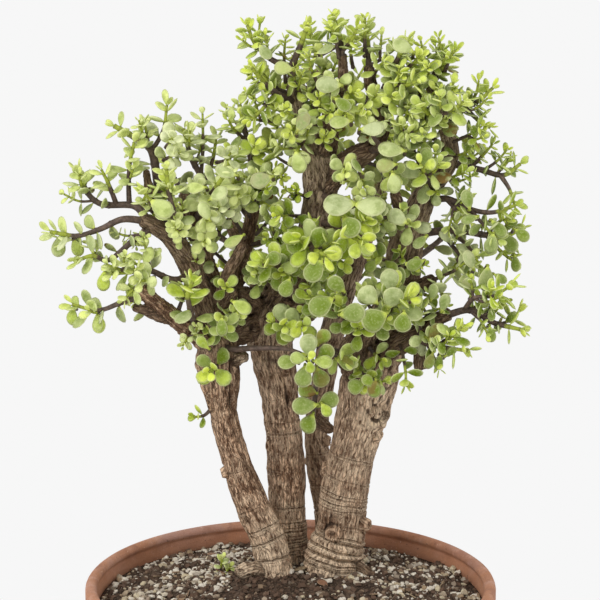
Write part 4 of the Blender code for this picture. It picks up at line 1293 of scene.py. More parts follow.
def bowl_outline(settings):
    """The wall's radius and height, from the foot up the outside, over the lip and down inside."""
    lip_middle = POT_HIGH.x - settings.lip
    lip_height = POT_HIGH.z - settings.lip
    band_foot = lip_height - settings.band
    line = [(settings.foot + 0.002, 0.0008), (settings.foot + 0.0035, 0.003)]
    for height in range(8, round(band_foot / MM), 8):
        line.append((max(bowl_side(settings, height * MM), settings.foot + 0.0045), height * MM))
    line.append((bowl_side(settings, band_foot) + 0.0002, band_foot - 0.001))
    line += [
        (POT_HIGH.x - 0.0035, band_foot + 0.0005),
        (POT_HIGH.x - 0.0014, band_foot + 0.0022),
        (POT_HIGH.x - 0.0004, band_foot + 0.0046),
        (POT_HIGH.x - 0.0001, band_foot + 0.011),
    ]
    for angle in range(0, 181, 15):
        turn = math.radians(angle)
        out, up = settings.lip * math.cos(turn), settings.lip * math.sin(turn)
        line.append((lip_middle + out, lip_height + up))
    inner = POT_HIGH.x - 2 * settings.lip
    bore = SOIL_HIGH.x + 0.0003
    line += [
        (inner + 0.0005, lip_height - 0.0014),
        (inner + 0.0016, lip_height - 0.0026),
        (inner + 0.0014, lip_height - 0.0042),
        ((inner + bore) / 2, FLARE),
        (bore, BORE_TOP),
        (bore, BORE_FOOT),
    ]
    for height in (0.100, 0.080, 0.060, 0.040, 0.024, 0.014):
        line.append((bowl_side(settings, height) - settings.wall, height))
    line.append((bowl_side(settings, 0.013) - settings.wall - 0.004, settings.floor))
    return line


def turn_up(outline):
    """Extrudes the selected face of the active mesh through rings of radius and height."""
    radius, height = outline[0]
    for next_radius, next_height in outline[1:]:
        bpy.ops.mesh.extrude_region_move(
            TRANSFORM_OT_translate={"value": (0, 0, next_height - height)}
        )
        size = next_radius / radius
        bpy.ops.transform.resize(value=(size, size, 1), center_override=(0, 0, next_height))
        radius, height = next_radius, next_height


class BONSAI_OT_bowl(bpy.types.Operator):
    """Turn the terracotta bowl: foot, rounded side, band, rolled lip and inner wall"""

    bl_idname = "bonsai.bowl"
    bl_label = "Terracotta Bowl"

    def execute(self, context):
        settings = context.scene.bonsai_bowl
        outline = bowl_outline(settings)
        bpy.ops.mesh.primitive_circle_add(vertices=160, radius=settings.foot, fill_type="NGON")
        piece = added("terracotta_bowl")
        edit_all()
        turn_up([(settings.foot, 0.0), *outline])
        close_edit()
        self.drill(piece)
        self.weather(piece, settings)
        piece.data.materials.append(terracotta(settings))
        stand_in_for(piece, ["pot"])
        bpy.ops.object.shade_smooth_by_angle(angle=math.radians(50))
        return {"FINISHED"}

    def drill(self, piece):
        """Cuts the drain holes in the floor."""
        for number in range(DRAIN_HOLES):
            turn = math.tau * (number + 0.25) / DRAIN_HOLES
            place = (DRAIN_REACH * math.cos(turn), DRAIN_REACH * math.sin(turn), 0)
            bpy.ops.mesh.primitive_cylinder_add(
                vertices=32, radius=DRAIN_RADIUS, depth=0.04, location=place
            )
            drill = added("drain_drill")
            finish_modifier(piece, "BOOLEAN", object=drill, operation="DIFFERENCE", solver="EXACT")
            bpy.data.objects.remove(drill)
        take_only(piece)

    def weather(self, piece, settings):
        """Lets the wall waver a little, and marks where it is dusty and where it is damp."""
        places = places_of(piece.data)
        out = unit(places * (1, 1, 0))
        height, radius = places[:, 2], np.linalg.norm(places[:, :2], axis=1)
        waver = swell(places / 0.045) * 0.0004 + swell(places / 0.011) * 0.00012
        waver = waver * np.clip((height - FLAT_FOOT) / 0.01, 0, 1) * (height < POT_HIGH.z - 0.002)
        move_to(piece.data, places + out * (waver - 0.0005)[:, None] * (height > FLAT_FOOT)[:, None])
        inside = radius < POT_HIGH.x - settings.lip * 1.6
        dust = np.where(inside & (height < POT_HIGH.z - settings.lip), 0.45, 1.0)
        damp = np.where(inside, np.clip((DAMP_LINE - height) / 0.010, 0, 1), 0.0)
        carry(piece.data, "form", np.column_stack([dust, damp, damp * 0]))


# --- Soil, grit and fallen things --------------------------------------------------------


SOIL_RINGS = 57  # steps from the soil's edge to its middle, of which the last three stay one fan
SOIL_WAIST = 0.06  # height where the soil's side bends
# How far inside the bowl's outer side the soil's side lies, at its foot and at its waist.
FOOT_DEPTH, WAIST_DEPTH = 0.0135, 0.0098


def soil_height(settings, radius):
    """The mound's height: level in the middle, then falling to the wall."""
    reach = SOIL_HIGH.x - settings.level
    fall = np.clip((radius - settings.level) / reach, 0, 1)
    fall = fall * fall * (3 - 2 * fall)
    return settings.crown - (settings.crown - settings.edge) * fall


def clods(places):
    """How far the soil's crumbs stand up."""
    flat = places * (1, 1, 0)
    return crumple(flat / 0.022) * 0.0016 + crumple(flat / 0.0058, 2) * 0.0011


class BONSAI_OT_soil(bpy.types.Operator):
    """Fill the bowl with potting soil, heaped a little round the trunks"""

    bl_idname = "bonsai.soil"
    bl_label = "Potting Soil"

    def execute(self, context):
        settings = context.scene.bonsai_soil
        foot = SOIL_LOW.z + 0.0005
        bottom = bowl_side(context.scene.bonsai_bowl, foot) - FOOT_DEPTH
        waist = bowl_side(context.scene.bonsai_bowl, SOIL_WAIST) - WAIST_DEPTH
        rim = SOIL_HIGH.x - 0.0003
        bpy.ops.mesh.primitive_circle_add(
            vertices=240, radius=bottom, fill_type="NGON", location=(0, 0, foot)
        )
        piece = added("potting_soil_bed")
        into_mesh(piece)
        edit_all()
        turn_up([(bottom, foot), (waist, SOIL_WAIST), (rim, BORE_FOOT), (rim, settings.edge)])
        for _ in range(SOIL_RINGS - 3):
            bpy.ops.mesh.inset(thickness=rim / SOIL_RINGS)
        bpy.ops.mesh.poke()
        close_edit()
        places = places_of(piece.data)
        radius = np.linalg.norm(places[:, :2], axis=1)
        top = places[:, 2] > settings.edge - 0.001
        height = soil_height(settings, radius) + clods(places) * np.clip((rim - radius) / 0.004, 0, 1)
        places[:, 2] = np.where(top, height, places[:, 2])
        move_to(piece.data, places)
        piece.data.materials.append(potting_soil(settings))
        stand_in_for(piece, ["soil"])
        return {"FINISHED"}


# The darker soil in front of the trunks, where few pale grains lie: its middle and its reach.
BARE_SOIL = np.array([-0.012, -0.030, 0.0])
BARE_REACH = 0.055
# Radii of grains and crumbs in millimetres: the least, the span above it, and how rare large ones are.
GRAIN_SIZES, CRUMB_SIZES = (0.5, 2.7, 2.8), (0.5, 2.0, 2.4)
ROUNDED = 1.2 * MM  # pale grains larger than this are rounder


class BONSAI_OT_grit(bpy.types.Operator):
    """Scatter pumice, gravel and dark crumbs over the soil"""

    bl_idname = "bonsai.grit"
    bl_label = "Grit on the Soil"

    def execute(self, context):
        settings = context.scene.bonsai_soil
        chance = random.Random(31)
        stones = [self.stone(number) for number in range(8)]
        bunch = Bunch()
        for _ in range(settings.grains):
            self.scatter(bunch, settings, chance, stones, pale=True)
        for _ in range(settings.crumbs):
            self.scatter(bunch, settings, chance, stones, pale=False)
        piece = bunch.piece("soil_grit", [grit_stone(settings)])
        stand_in_for(piece)
        piece.data.shade_flat()
        return {"FINISHED"}

    def stone(self, number):
        """One rough grain of unit size, as points and faces."""
        if number < 4:
            bpy.ops.mesh.primitive_ico_sphere_add(subdivisions=1, radius=1)
        else:
            bpy.ops.mesh.primitive_cube_add(size=1.5)
        model = added("stone")
        edit_all()
        bpy.ops.transform.vertex_random(offset=0.28, seed=number)
        bpy.ops.transform.resize(value=(1.25, 0.95, 0.72), center_override=(0, 0, 0))
        bpy.ops.object.mode_set(mode="OBJECT")
        places = places_of(model.data)
        faces = [tuple(face.vertices) for face in model.data.polygons]
        bpy.data.objects.remove(model)
        return places, faces

    def scatter(self, bunch, settings, chance, stones, pale):
        """Lays one grain on the soil, turned and half sunk."""
        turn = chance.uniform(0, math.tau)
        reach = (SOIL_HIGH.x - 0.002) * math.sqrt(chance.random())
        place = np.array([[reach * math.cos(turn), reach * math.sin(turn), 0.0]])
        bare = hump(np.linalg.norm(place - BARE_SOIL) / BARE_REACH)
        patch = swell(place / 0.030)[0] * 0.8 + 0.25 - 0.9 * bare
        if pale and chance.random() > 0.5 + patch:
            return
        least, span, rarity = GRAIN_SIZES if pale else CRUMB_SIZES
        size = MM * (least + span * chance.random() ** rarity)
        kinds = stones[:4] if pale and size > ROUNDED else stones[4:]
        places, faces = kinds[chance.randrange(4)]
        spin = Euler((chance.uniform(-0.7, 0.7), chance.uniform(-0.7, 0.7), chance.uniform(0, math.tau)))
        turned = places @ np.array(spin.to_matrix())
        height = soil_height(settings, reach) + clods(place)[0] + size * chance.uniform(-0.2, 0.6)
        place[0, 2] = height
        paleness = 0.30 + 0.70 * chance.random() ** 0.75 if pale else chance.uniform(0, 0.30)
        shade = (paleness, chance.random(), chance.random())
        bunch.add(turned * size * chance.uniform(0.85, 1.15) + place, faces, (0, 0, 0), shade)


# --- Wood --------------------------------------------------------------------------------


# How far apart the bark's forms stand in metres, across a limb both ways and along it.
LUMPS = np.array([0.022, 0.022, 0.030])
SPLITS = np.array([0.0048, 0.0048, 0.030])
BREAKS = np.array([0.014, 0.014, 0.022])  # stretches where a split is deeper or is closed
FIBRES = np.array([0.0028, 0.0028, 0.007])
KNOBS = np.array([0.009, 0.009, 0.014])  # on boughs only
BOUGH_RINGS = 0.0085  # how far apart the rings of a bough stand
FULL_RADIUS = 0.013  # thinner limbs have lower relief
WARM_HEIGHT = 0.400  # above this height the trunks' bark is as dark as the boughs'
# The bark's colours follow this relief: painted shade in its hollows, a painted highlight on its ridges.
LEVEL_SPAN = 0.0036  # span of fine relief, from crack to ridge, that the bark's colours follow


class Limb:
    """One trunk, bough or root: its smooth line, and where on it a point of the skin lies."""

    def __init__(self, name, points):
        self.name = name
        self.line = smooth_route(points)
        self.centres, self.radii = self.line[:, :3], self.line[:, 3]
        self.side, self.up, self.along = frames_along(self.centres)
        self.run = run_length(self.centres)

    def nearest(self, places):
        """The nearest place on the line for each point."""
        gap = (
            (places**2).sum(axis=1)[:, None]
            + (self.centres**2).sum(axis=1)[None]
            - 2 * places @ self.centres.T
        )
        return gap.argmin(axis=1)

    def depth_in(self, places, nearest):
        return np.linalg.norm(places - self.centres[nearest], axis=1) - self.radii[nearest]

    def own_places(self, places, nearest):
        """Across, up and along the limb, as if it were straight."""
        offset = places - self.centres[nearest]
        across = (offset * self.side[nearest]).sum(axis=1)
        upward = (offset * self.up[nearest]).sum(axis=1)
        onward = (offset * self.along[nearest]).sum(axis=1)
        return np.column_stack([across, upward, self.run[nearest] + onward])

    def run_at(self, height):
        """How far along the limb a height in millimetres is."""
        return self.run[np.abs(self.centres[:, 2] - height * MM).argmin()]

    def spot(self, height, facing):
        """A place on the limb's surface at a height, facing a way in degrees."""
        at = np.abs(self.centres[:, 2] - height * MM).argmin()
        turn = math.radians(facing)
        return self.centres[at] + np.array([math.cos(turn), math.sin(turn), 0.0]) * self.radii[at]


def slimmer(name, points):
    """A limb's route, its radii made smaller where bark is to be added."""
    share_kept = SLIMMER.get(name, 1.0)
    return [(x, y, z, radius * share_kept) for x, y, z, radius in points]


def hump(distance):
    """A smooth hill that is 1 in the middle."""
    return np.exp(-(distance**2))


def round_the(own):
    """Places across a limb only, so that a swell in them doesn't change along it."""
    return own * (1 / 0.017, 1 / 0.017, 0)


def ring_height(limb, own):
    """How far along a limb each point lies as its rings run: wavering, and lower on one side."""
    around = round_the(own)
    wander = swell(around) * 0.0020 + swell(around * 3.1) * 0.0006
    return own[:, 2] - wander + TILT.get(limb.name, 0.0) * own[:, 0]


def crease_relief(limb, places, own):
    """Creases and wrinkles that ring a trunk, with a low lip on each side."""
    relief = np.zeros(len(places))
    around = round_the(own)
    at = ring_height(limb, own)
    for number, (height, depth, width) in enumerate(CREASES.get(limb.name, ())):
        gap = (at - limb.run_at(height)) / (width * MM)
        strength = depth * MM * np.clip(0.8 + 0.9 * swell(around * 1.4 + 3.1 * number), 0.2, 1.2)
        relief += strength * (0.45 * hump((np.abs(gap) - 1.8) / 0.8) - 0.8 * hump(gap))
    return relief


def ring_marks(limb, own):
    """Where each point lies among the rings, their spacing there in millimetres, and how they cut, which
    sets the strength of the painted shadow in each crease and the painted highlight on its lips.
    """
    rings = sorted(CREASES.get(limb.name, ()))
    if not rings:
        return np.tile((0.5, 1.0, 0.0), (len(own), 1))
    at = np.array([limb.run_at(ring[0]) for ring in rings])
    stops = np.concatenate([[at[0] - 0.02], at, [at[-1] + 0.02]])
    turns = np.concatenate([[-0.5], np.arange(len(at)), [len(at) - 0.5]])
    place = ring_height(limb, own)
    spacing = np.diff(stops) / np.diff(turns) / MM
    part = np.clip(np.searchsorted(stops, place) - 1, 0, len(spacing) - 1)
    depth = np.interp(place, at, [ring[1] for ring in rings])
    cut = np.clip(depth * (0.85 + 0.8 * swell(own / (0.011, 0.011, 0.006) + 7)), 0.0, 1.0)
    return np.column_stack([np.interp(place, stops, turns), spacing[part], cut])


def knot_relief(limb, places):
    """Knots: a swelling, the pit in it with the hollow round it, and how near each point is."""
    rise, pits, near = np.zeros((3, len(places)))
    for name, height, facing, radius, high in KNOTS:
        if name != limb.name:
            continue
        gap = np.linalg.norm(places - limb.spot(height, facing), axis=1) / (radius * MM)
        pit = hump(gap / 0.36) + 0.8 * hump((gap - 1.25) / 0.26)
        rise += high * MM * (hump(gap) - 0.4 * pit)
        pits += min(high, 3.0) * MM * 0.5 * (0.9 * hump((gap - 0.75) / 0.25) - pit)
        near = np.maximum(near, hump(gap / 1.2))
    return rise, pits, near


def furrow_relief(limb, places, nearest):
    """Deep upright furrows."""
    relief = np.zeros(len(places))
    offset = places - limb.centres[nearest]
    facing = np.arctan2(offset[:, 1], offset[:, 0])
    for name, low, high, way, width, depth in FURROWS:
        if name != limb.name:
            continue
        turn = (facing - math.radians(way) + math.pi) % math.tau - math.pi
        wander = swell(places / 0.02) * 0.0012
        gap = (turn * limb.radii[nearest] + wander) / (width * MM)
        height = limb.centres[nearest][:, 2]
        ends = np.clip((height - low * MM) / 0.006, 0, 1) * np.clip((high * MM - height) / 0.006, 0, 1)
        relief -= depth * MM * hump(gap) * ends
    return relief


def share_near(places, patches):
    """How near each point is to the patches, from 0 to 1."""
    share_there = np.zeros(len(places))
    for middle, reach in patches:
        gap = np.linalg.norm((places - np.array(middle) * MM) / (np.array(reach) * MM), axis=1)
        share_there = np.maximum(share_there, hump(gap * 0.9))
    return share_there


class BONSAI_OT_wood(bpy.types.Operator):
    """Grow the four trunks with their boughs and roots, each as one skin of bark"""

    bl_idname = "bonsai.wood"
    bl_label = "Trunks and Boughs"

    def execute(self, context):
        settings = context.scene.bonsai_wood
        look = bark(settings)
        routes = {**TRUNKS, **BOUGHS, **ROOTS}
        for name, nodes in WOOD_GROUPS.items():
            limbs = [Limb(node, slimmer(node, routes[node])) for node in nodes]
            stubs = [Limb(f"{name}_stub", points) for points in STUBS[name]]
            piece = self.skin(name, limbs + stubs, settings)
            self.roughen(piece, limbs + stubs)
            piece.data.materials.append(look)
            stand_in_for(piece, nodes)
        return {"FINISHED"}

    def skin(self, name, limbs, settings):
        """Round skins on the limbs' lines, melted into one."""
        places, faces = [], []
        count = 0
        for limb in limbs:
            more, corners = round_skin(limb.line, 20)
            places.append(more)
            faces += [tuple(count + corner for corner in face) for face in corners]
            count += len(more)
        piece = object_from(name, np.vstack(places), faces)
        finish_modifier(piece, "REMESH", mode="VOXEL", voxel_size=settings.mesh, adaptivity=0)
        finish_modifier(piece, "SMOOTH", factor=0.5, iterations=9)
        return piece

    def roughen(self, piece, limbs):
        """Works the bark into the skin, and stores what its material reads."""
        places = places_of(piece.data)
        outward = places_of(piece.data, "normal")
        depth = np.full(len(places), 1e9)
        owner = np.zeros(len(places), int)
        spots = []
        for number, limb in enumerate(limbs):
            nearest = limb.nearest(places)
            spots.append(nearest)
            inside = limb.depth_in(places, nearest)
            owner[inside < depth] = number
            depth = np.minimum(depth, inside)
        grain = np.zeros_like(places)
        relief = np.zeros(len(places))
        swollen = np.zeros(len(places))
        warmth = np.zeros(len(places))
        marks = np.zeros_like(places)
        peeled = share_near(places, PEELED)
        burled = share_near(places, BURLS)
        for number, limb in enumerate(limbs):
            mine = owner == number
            if not mine.any():
                continue
            here, nearest = places[mine], spots[number][mine]
            own = limb.own_places(here, nearest)
            size = np.clip(limb.radii[nearest] / FULL_RADIUS, 0.25, 1)
            shape = 0.0005 + crumple(own * (1 / LUMPS)) * 0.0016 * size
            split = hump(swell(own * (1 / SPLITS) + 5) / 0.20)
            broken = np.clip(0.55 + 1.1 * swell(own / BREAKS + 9), 0.1, 1.2)
            form = (0.0003 - 0.0012 * split * broken) * size
            form += crumple(own * (1 / FIBRES), 2) * 0.00042
            if limb.name in TRUNKS:
                crease = crease_relief(limb, here, own)
                furrow = furrow_relief(limb, here, nearest)
                rise, pits, near = knot_relief(limb, here)
                shape += 1.55 * crease * (1 - near) + 0.6 * furrow + rise
                # The form also sets the colour level: crease lips and knot rims get a painted highlight,
                # furrows and knot pits painted shade.
                form += 0.3 * np.maximum(crease, 0) + 0.4 * furrow + pits
                warmth[mine] = np.clip((WARM_HEIGHT - here[:, 2]) / 0.12, 0.15, 1) * WARMTH[limb.name]
            else:
                beat = own[:, 2] / BOUGH_RINGS + 0.5 * swell(own / 0.012)
                ridges = hump((beat % 1 - 0.32) / 0.14) - hump((beat % 1 - 0.5) / 0.12)
                form += 0.0009 * ridges * size
                form += crumple(own * (1 / KNOBS)) * 0.0009 * size
                warmth[mine] = WARMTH.get(limb.name, 0.15)
            form += crumple(here / 0.0055, 2) * 0.0011 * peeled[mine]
            shape += crumple(here / 0.010, 2) * 0.0070 * burled[mine]
            form += crumple(here / 0.0048, 2) * 0.0026 * burled[mine]
            warmth[mine] *= 1 - 0.35 * burled[mine]
            marks[mine] = ring_marks(limb, own)
            marks[mine, 2] *= 1 - (near if limb.name in TRUNKS else 0.0)
            grain[mine] = own + (0.11 * number, 0, 0)
            relief[mine] = form
            swollen[mine] = shape
        move_to(piece.data, places + outward * (relief + swollen)[:, None])
        carry(piece.data, "grain", grain)
        carry(piece.data, "rings", marks)
        # The level by which the bark paints shade in hollows and a highlight on ridges.
        level = np.clip(0.5 + relief / LEVEL_SPAN, 0, 1)
        carry(piece.data, "bark", np.column_stack([level, warmth, peeled]))


# --- Leafy shoots ------------------------------------------------------------------------


def leaf_model(settings, segments=12):
    """One leaf of unit length, its foot at the origin: points, faces and what each point carries."""
    bpy.ops.mesh.primitive_uv_sphere_add(segments=segments, ring_count=4, radius=1)
    model = added("leaf_model")
    ball = places_of(model.data)
    faces = [tuple(face.vertices) for face in model.data.polygons]
    bpy.data.objects.remove(model)
    rim = np.linalg.norm(ball[:, :2], axis=1)
    along = np.clip((ball[:, 1] + 1) / 2, 0, 1)
    broad = settings.breadth / 0.90 * (0.12 + 0.37 * (1 - (1 - along) ** 2.3))
    fleshy = settings.thickness / 2 * (0.55 + 0.45 * np.clip(along * 3, 0, 1))
    thick = np.sign(ball[:, 2]) * np.abs(ball[:, 2]) ** 0.6 * fleshy
    model_places = np.column_stack([ball[:, 0] * broad, along, thick])
    form = np.column_stack([rim, along, ball[:, 2] > -0.05])
    return model_places, faces, form


# The youngest leaf pairs, from the tip: size, lean, youth and the gap to the next pair.
TIP_PAIRS = (
    (0.46, 1.05, 1.0, 0.26), (0.80, 0.6, 0.75, 0.48), (1.0, 0.32, 0.38, 0.62), (1.04, 0.2, 0.15, 0.72),
)


class Foliage:
    """Grows the twigs and leaves of one shoot."""

    def __init__(self, name, settings, model):
        self.settings = settings
        self.chance = random.Random(name)
        self.bunch = Bunch()
        self.places, self.faces, self.form = model
        self.bloom_and_highlight = BLOOM_AND_HIGHLIGHT.get(name, 0.0)
        self.youth = YOUTH.get(name, 0.0)
        self.turned = TURNED.get(name, 0.0)
        self.square = SQUARE.get(name)
        self.breadth = NARROW.get(name, 1.0)

    def leaf(self, foot, growth, outward, size, lean, youth, blush=None):
        """Sets one leaf on a twig, leaning forward along its growth."""
        chance = self.chance
        lean += chance.uniform(-0.2, 0.2)
        along = unit(outward * math.cos(lean) + growth * math.sin(lean))
        light = np.array([0.0, -0.5, 0.8]) * chance.uniform(0.0, 0.6)
        light[1] -= 1.6 * self.turned
        face = growth * math.cos(lean) - outward * math.sin(lean) + light
        face = unit(face - along * face.dot(along))
        across = np.cross(along, face)
        twist = chance.uniform(-0.3, 0.3)
        turned = face * math.cos(twist) + across * math.sin(twist)
        across = across * math.cos(twist) - face * math.sin(twist)
        shape = self.places.copy()
        curl = chance.uniform(-0.12, 0.16)
        cup = chance.uniform(-0.05, 0.25)
        shape[:, 2] += curl * shape[:, 1] ** 2 + cup * shape[:, 0] ** 2
        shape[:, 0] *= chance.uniform(0.84, 1.08) * self.breadth
        placed = foot + size * (shape[:, :1] * across + shape[:, 1:2] * along + shape[:, 2:] * turned)
        youth = min(1.0, max(0.0, youth + self.youth + chance.uniform(-0.4, 0.34)))
        bloom_and_highlight = self.bloom_and_highlight
        if blush is None:
            bloom_and_highlight = min(1.0, bloom_and_highlight + max(0.0, chance.uniform(-0.6, 0.5)) * (1 - youth))
            blush = 1.0 if youth < 0.3 and chance.random() < 0.05 else 0.0
        self.bunch.add(placed, self.faces, self.form, (youth, bloom_and_highlight, blush), 0)

    def twig(self, line, size, leafy, rank=0):
        """A twig with its leaf pairs. One of rank 0 bears side twigs too, beside its older leaves."""
        chance = self.chance
        centres = line[:, :3]
        side, up, along = frames_along(centres)
        run = run_length(centres)
        back = run[-1] - run
        rings = []
        roll = chance.uniform(0, math.tau)
        if rank == 0 and self.square is not None:
            roll = math.atan2(up[-1][2], side[-1][2]) + math.radians(self.square)
        spot = 0.0006
        pair = 0
        while spot < min(leafy, run[-1] * 0.97):
            at = int(np.abs(back - spot).argmin())
            rings.append(at)
            if pair < len(TIP_PAIRS):
                share_grown, lean, youth, gap = TIP_PAIRS[pair]
            else:
                share_grown, lean, youth, gap = chance.uniform(0.85, 1.1), 0.15, 0.1, 0.8
            for half in (0, math.pi):
                turn = roll + half + chance.uniform(-0.15, 0.15)
                outward = math.cos(turn) * side[at] + math.sin(turn) * up[at]
                if pair > 3 and chance.random() < 0.15:
                    continue
                foot = centres[at] + outward * line[at, 3] * 0.7
                length_grown = size * share_grown * chance.uniform(0.9, 1.6 if pair == 0 else 1.08)
                self.leaf(foot, along[at], outward, length_grown, lean, youth)
                if rank < 1 and pair > 2 and chance.random() < self.settings.side_twigs:
                    self.side_twig(centres[at], along[at], outward, size)
            roll += math.pi / 2 + chance.uniform(-0.12, 0.12)
            spot += size * gap * chance.uniform(0.85, 1.15)
            pair += 1
        self.stem(line, back, rings, min(0.020, max(0.008, leafy * 0.9)))

    def front_leaf(self, middle, turn, size, youth, blush, lift):
        """One leaf with its face to the front, on a short twig that runs back into the crown."""
        way = np.array([math.cos(turn), 0.0, math.sin(turn)])
        foot = middle - way * size * 0.5
        aside = self.chance.uniform(-0.4, 0.4)
        growth = unit(np.array([aside, -1.0, lift + self.chance.uniform(-0.1, 0.45)]))
        self.leaf(foot, growth, way, size, 0.1, youth, blush)
        back = foot + np.array([0.0, 0.009, -0.0015])
        behind = back + np.array([0.0, 0.010, -0.004])
        points = [(*(knot / MM), radius) for knot, radius in zip((behind, back, foot), (1.5, 1.3, 1.1))]
        line = smooth_route(points, 2.5)
        run = run_length(line[:, :3])
        self.stem(line, run[-1] - run, [len(line) - 1], 0.012)

    def side_twig(self, foot, growth, outward, size):
        """A short twig that springs from above a leaf."""
        chance = self.chance
        reach = chance.uniform(0.014, 0.026)
        way = unit(growth * 0.7 + outward * 0.9 + np.array([0, -0.1, 0.3]))
        bend = unit(way + np.array([chance.uniform(-0.2, 0.2), chance.uniform(-0.2, 0.2), 0.45]))
        middle = foot + way * reach * 0.5
        knots = (foot, middle, middle + bend * reach * 0.5)
        points = [(*(knot / MM), radius) for knot, radius in zip(knots, (1.2, 1.0, 0.8))]
        self.twig(smooth_route(points, 2.0), size * chance.uniform(0.72, 0.95), reach * 0.8, rank=1)

    def stem(self, line, back, rings, green_reach):
        """The twig's own skin, ringed where leaves stand and green near its tip."""
        line = line.copy()
        marks = np.zeros(len(line))
        for at in rings:
            near = hump((back - back[at]) / 0.0009)
            line[:, 3] *= 1 + 0.16 * near
            marks = np.maximum(marks, near)
        sides = 8 if line[:, 3].max() > 0.0022 else 6
        places, faces = round_skin(line, sides)
        green = np.clip((green_reach - back) / (0.5 * green_reach), 0, 1)
        carried = np.repeat(np.column_stack([green, marks, 0 * green]), sides, axis=0)
        carried = np.vstack([carried, [green[0], 0, 0], [green[-1], 0, 0]])
        self.bunch.add(places, faces, (0, 0, 0), carried, 1)


def grow(foliage, route, radius, size, leafy_share=0.75):
    """Grows one twig along a route given in millimetres."""
    last = len(route) - 1
    points = [(*place, radius * (1 - 0.55 * step / last)) for step, place in enumerate(route)]
    line = smooth_route(points, 1.6)
    reach = run_length(line[:, :3])[-1]
    foliage.twig(line, size * MM, min(leafy_share * reach, 0.050))


def leaf_kit(context, segments=12):
    """The leaves' settings, the model of one leaf, and the materials of leaves and twigs."""
    settings = context.scene.bonsai_leaf
    return settings, leaf_model(settings, segments), [leaf_flesh(settings), twig_bark(settings)]


class BONSAI_OT_shoots(bpy.types.Operator):
    """Grow every leafy shoot: its twigs, their side twigs and pairs of fleshy leaves"""

    bl_idname = "bonsai.shoots"
    bl_label = "Leafy Shoots"

    def execute(self, context):
        settings, model, looks = leaf_kit(context)
        for name, twigs in SHOOTS.items():
            foliage = Foliage(name, settings, model)
            for radius, size, *route in twigs:
                grow(foliage, route, radius, size * LARGER.get(name, 1.0), 0.0 if name in BARE else 0.75)
            foliage.square = None
            for radius, size, *route in MORE_TWIGS.get(name, ()):
                grow(foliage, route, radius, size, 0.4)
            stand_in_for(foliage.bunch.piece(f"{name}_leaves", looks), [name])
        return {"FINISHED"}


class BONSAI_OT_sprays(bpy.types.Operator):
    """Fill the crown between the shoots with smaller leafy sprays"""

    bl_idname = "bonsai.sprays"
    bl_label = "Leafy Sprays"

    def execute(self, context):
        settings, model, looks = leaf_kit(context)
        for name, sprays in SPRAYS.items():
            foliage = Foliage(name, settings, model)
            for size, youth, bloom_and_highlight, *route in sprays:
                foliage.youth = youth * 0.6 + YOUTH.get(name, 0.0)
                foliage.bloom_and_highlight = bloom_and_highlight + BLOOM_AND_HIGHLIGHT.get(name, 0.0)
                grow(foliage, route, 1.3 + 0.03 * size, size * LARGER.get(name, 1.0))
            stand_in_for(foliage.bunch.piece(name, looks))
        for name, rows in SPROUTS.items():
            foliage = Foliage(name, settings, model)
            for limb, start, apart, reach in rows:
                line = Limb(limb, {**TRUNKS, **BOUGHS}[limb])
                least = 0.25 if name == "sprout_rear" else -0.45
                self.sprout(foliage, line, start, apart * MM, reach * MM, least)
            stand_in_for(foliage.bunch.piece(name, looks))
        return {"FINISHED"}

    def sprout(self, foliage, limb, start, apart, reach, least):
        """Sprouts all round a limb, each a good turn on from the last."""
        chance = foliage.chance
        youth = foliage.youth
        run = limb.run
        turn = chance.uniform(0, math.tau)
        spot = run[-1] * start
        while spot < run[-1] * 0.99:
            at = int(np.abs(run - spot).argmin())
            spot += apart * chance.uniform(0.7, 1.3)
            turn += 2.4
            out = math.cos(turn) * limb.side[at] + math.sin(turn) * limb.up[at]
            if out[1] < least:
                continue
            foot = limb.centres[at] + out * limb.radii[at] * 0.8
            grown = reach * chance.uniform(0.7, 1.25)
            way = unit(out + 0.35 * limb.along[at] + np.array([0, 0.1, 0.25]))
            tip = foot + way * grown + np.array([0, 0, grown * chance.uniform(0.1, 0.35)])
            middle = foot + way * grown * 0.55
            aside = max(0.0, tip[0] - DOME_MIDDLE[0]) / DOME_REACH[0]
            if math.hypot(aside, (tip[2] - DOME_MIDDLE[1]) / DOME_REACH[1]) > 1:
                continue
            foliage.youth = youth + chance.uniform(0, 0.25)
            foliage.bloom_and_highlight = chance.uniform(-0.1, 0.45)
            route = [tuple(place / MM) for place in (foot, middle, tip)]
            grow(foliage, route, 1.8, chance.uniform(13, 17))
        foliage.youth = youth


class BONSAI_OT_front_leaves(bpy.types.Operator):
    """Set the large leaves that face the front of the crown"""

    bl_idname = "bonsai.front_leaves"
    bl_label = "Large Front Leaves"

    def execute(self, context):
        settings, model, looks = leaf_kit(context, 20)
        for name, rows in FRONT_LEAVES.items():
            foliage = Foliage(name, settings, model)
            for x, z, back, turn, size, youth, bloom_and_highlight, blush, *lift in rows:
                seen_at = np.array([x, 0.0, z]) * MM
                middle = seen_at + (np.array(CAMERA) - seen_at) * back * MM / CAMERA[1]
                foliage.bloom_and_highlight = 0.05 + bloom_and_highlight * BLOOM_AND_HIGHLIGHT.get(name, 0.8)
                lifted = lift[0] if lift else LIFTED.get(name, 0.0)
                foliage.front_leaf(middle, math.radians(turn), size * MM, youth, blush, lifted)
            stand_in_for(foliage.bunch.piece(name, looks))
        return {"FINISHED"}


class BONSAI_OT_seedling(bpy.types.Operator):
    """Plant the small seedling on the left of the trunks"""

    bl_idname = "bonsai.seedling"
    bl_label = "Seedling"

    def execute(self, context):
        settings, model, looks = leaf_kit(context)
        foliage = Foliage("seedling", settings, model)
        for radius, size, *route in SEEDLING:
            points = [(*place, radius * 0.6) for place in route]
            foliage.twig(smooth_route(points, 1.6), size * MM, 0.012, rank=1)
        stand_in_for(foliage.bunch.piece("seedling_leaves", looks), ["seedling"])
        return {"FINISHED"}


TWIG_BITS = 46
LITTER_REACH = 0.142  # how far from the middle bits of twig lie


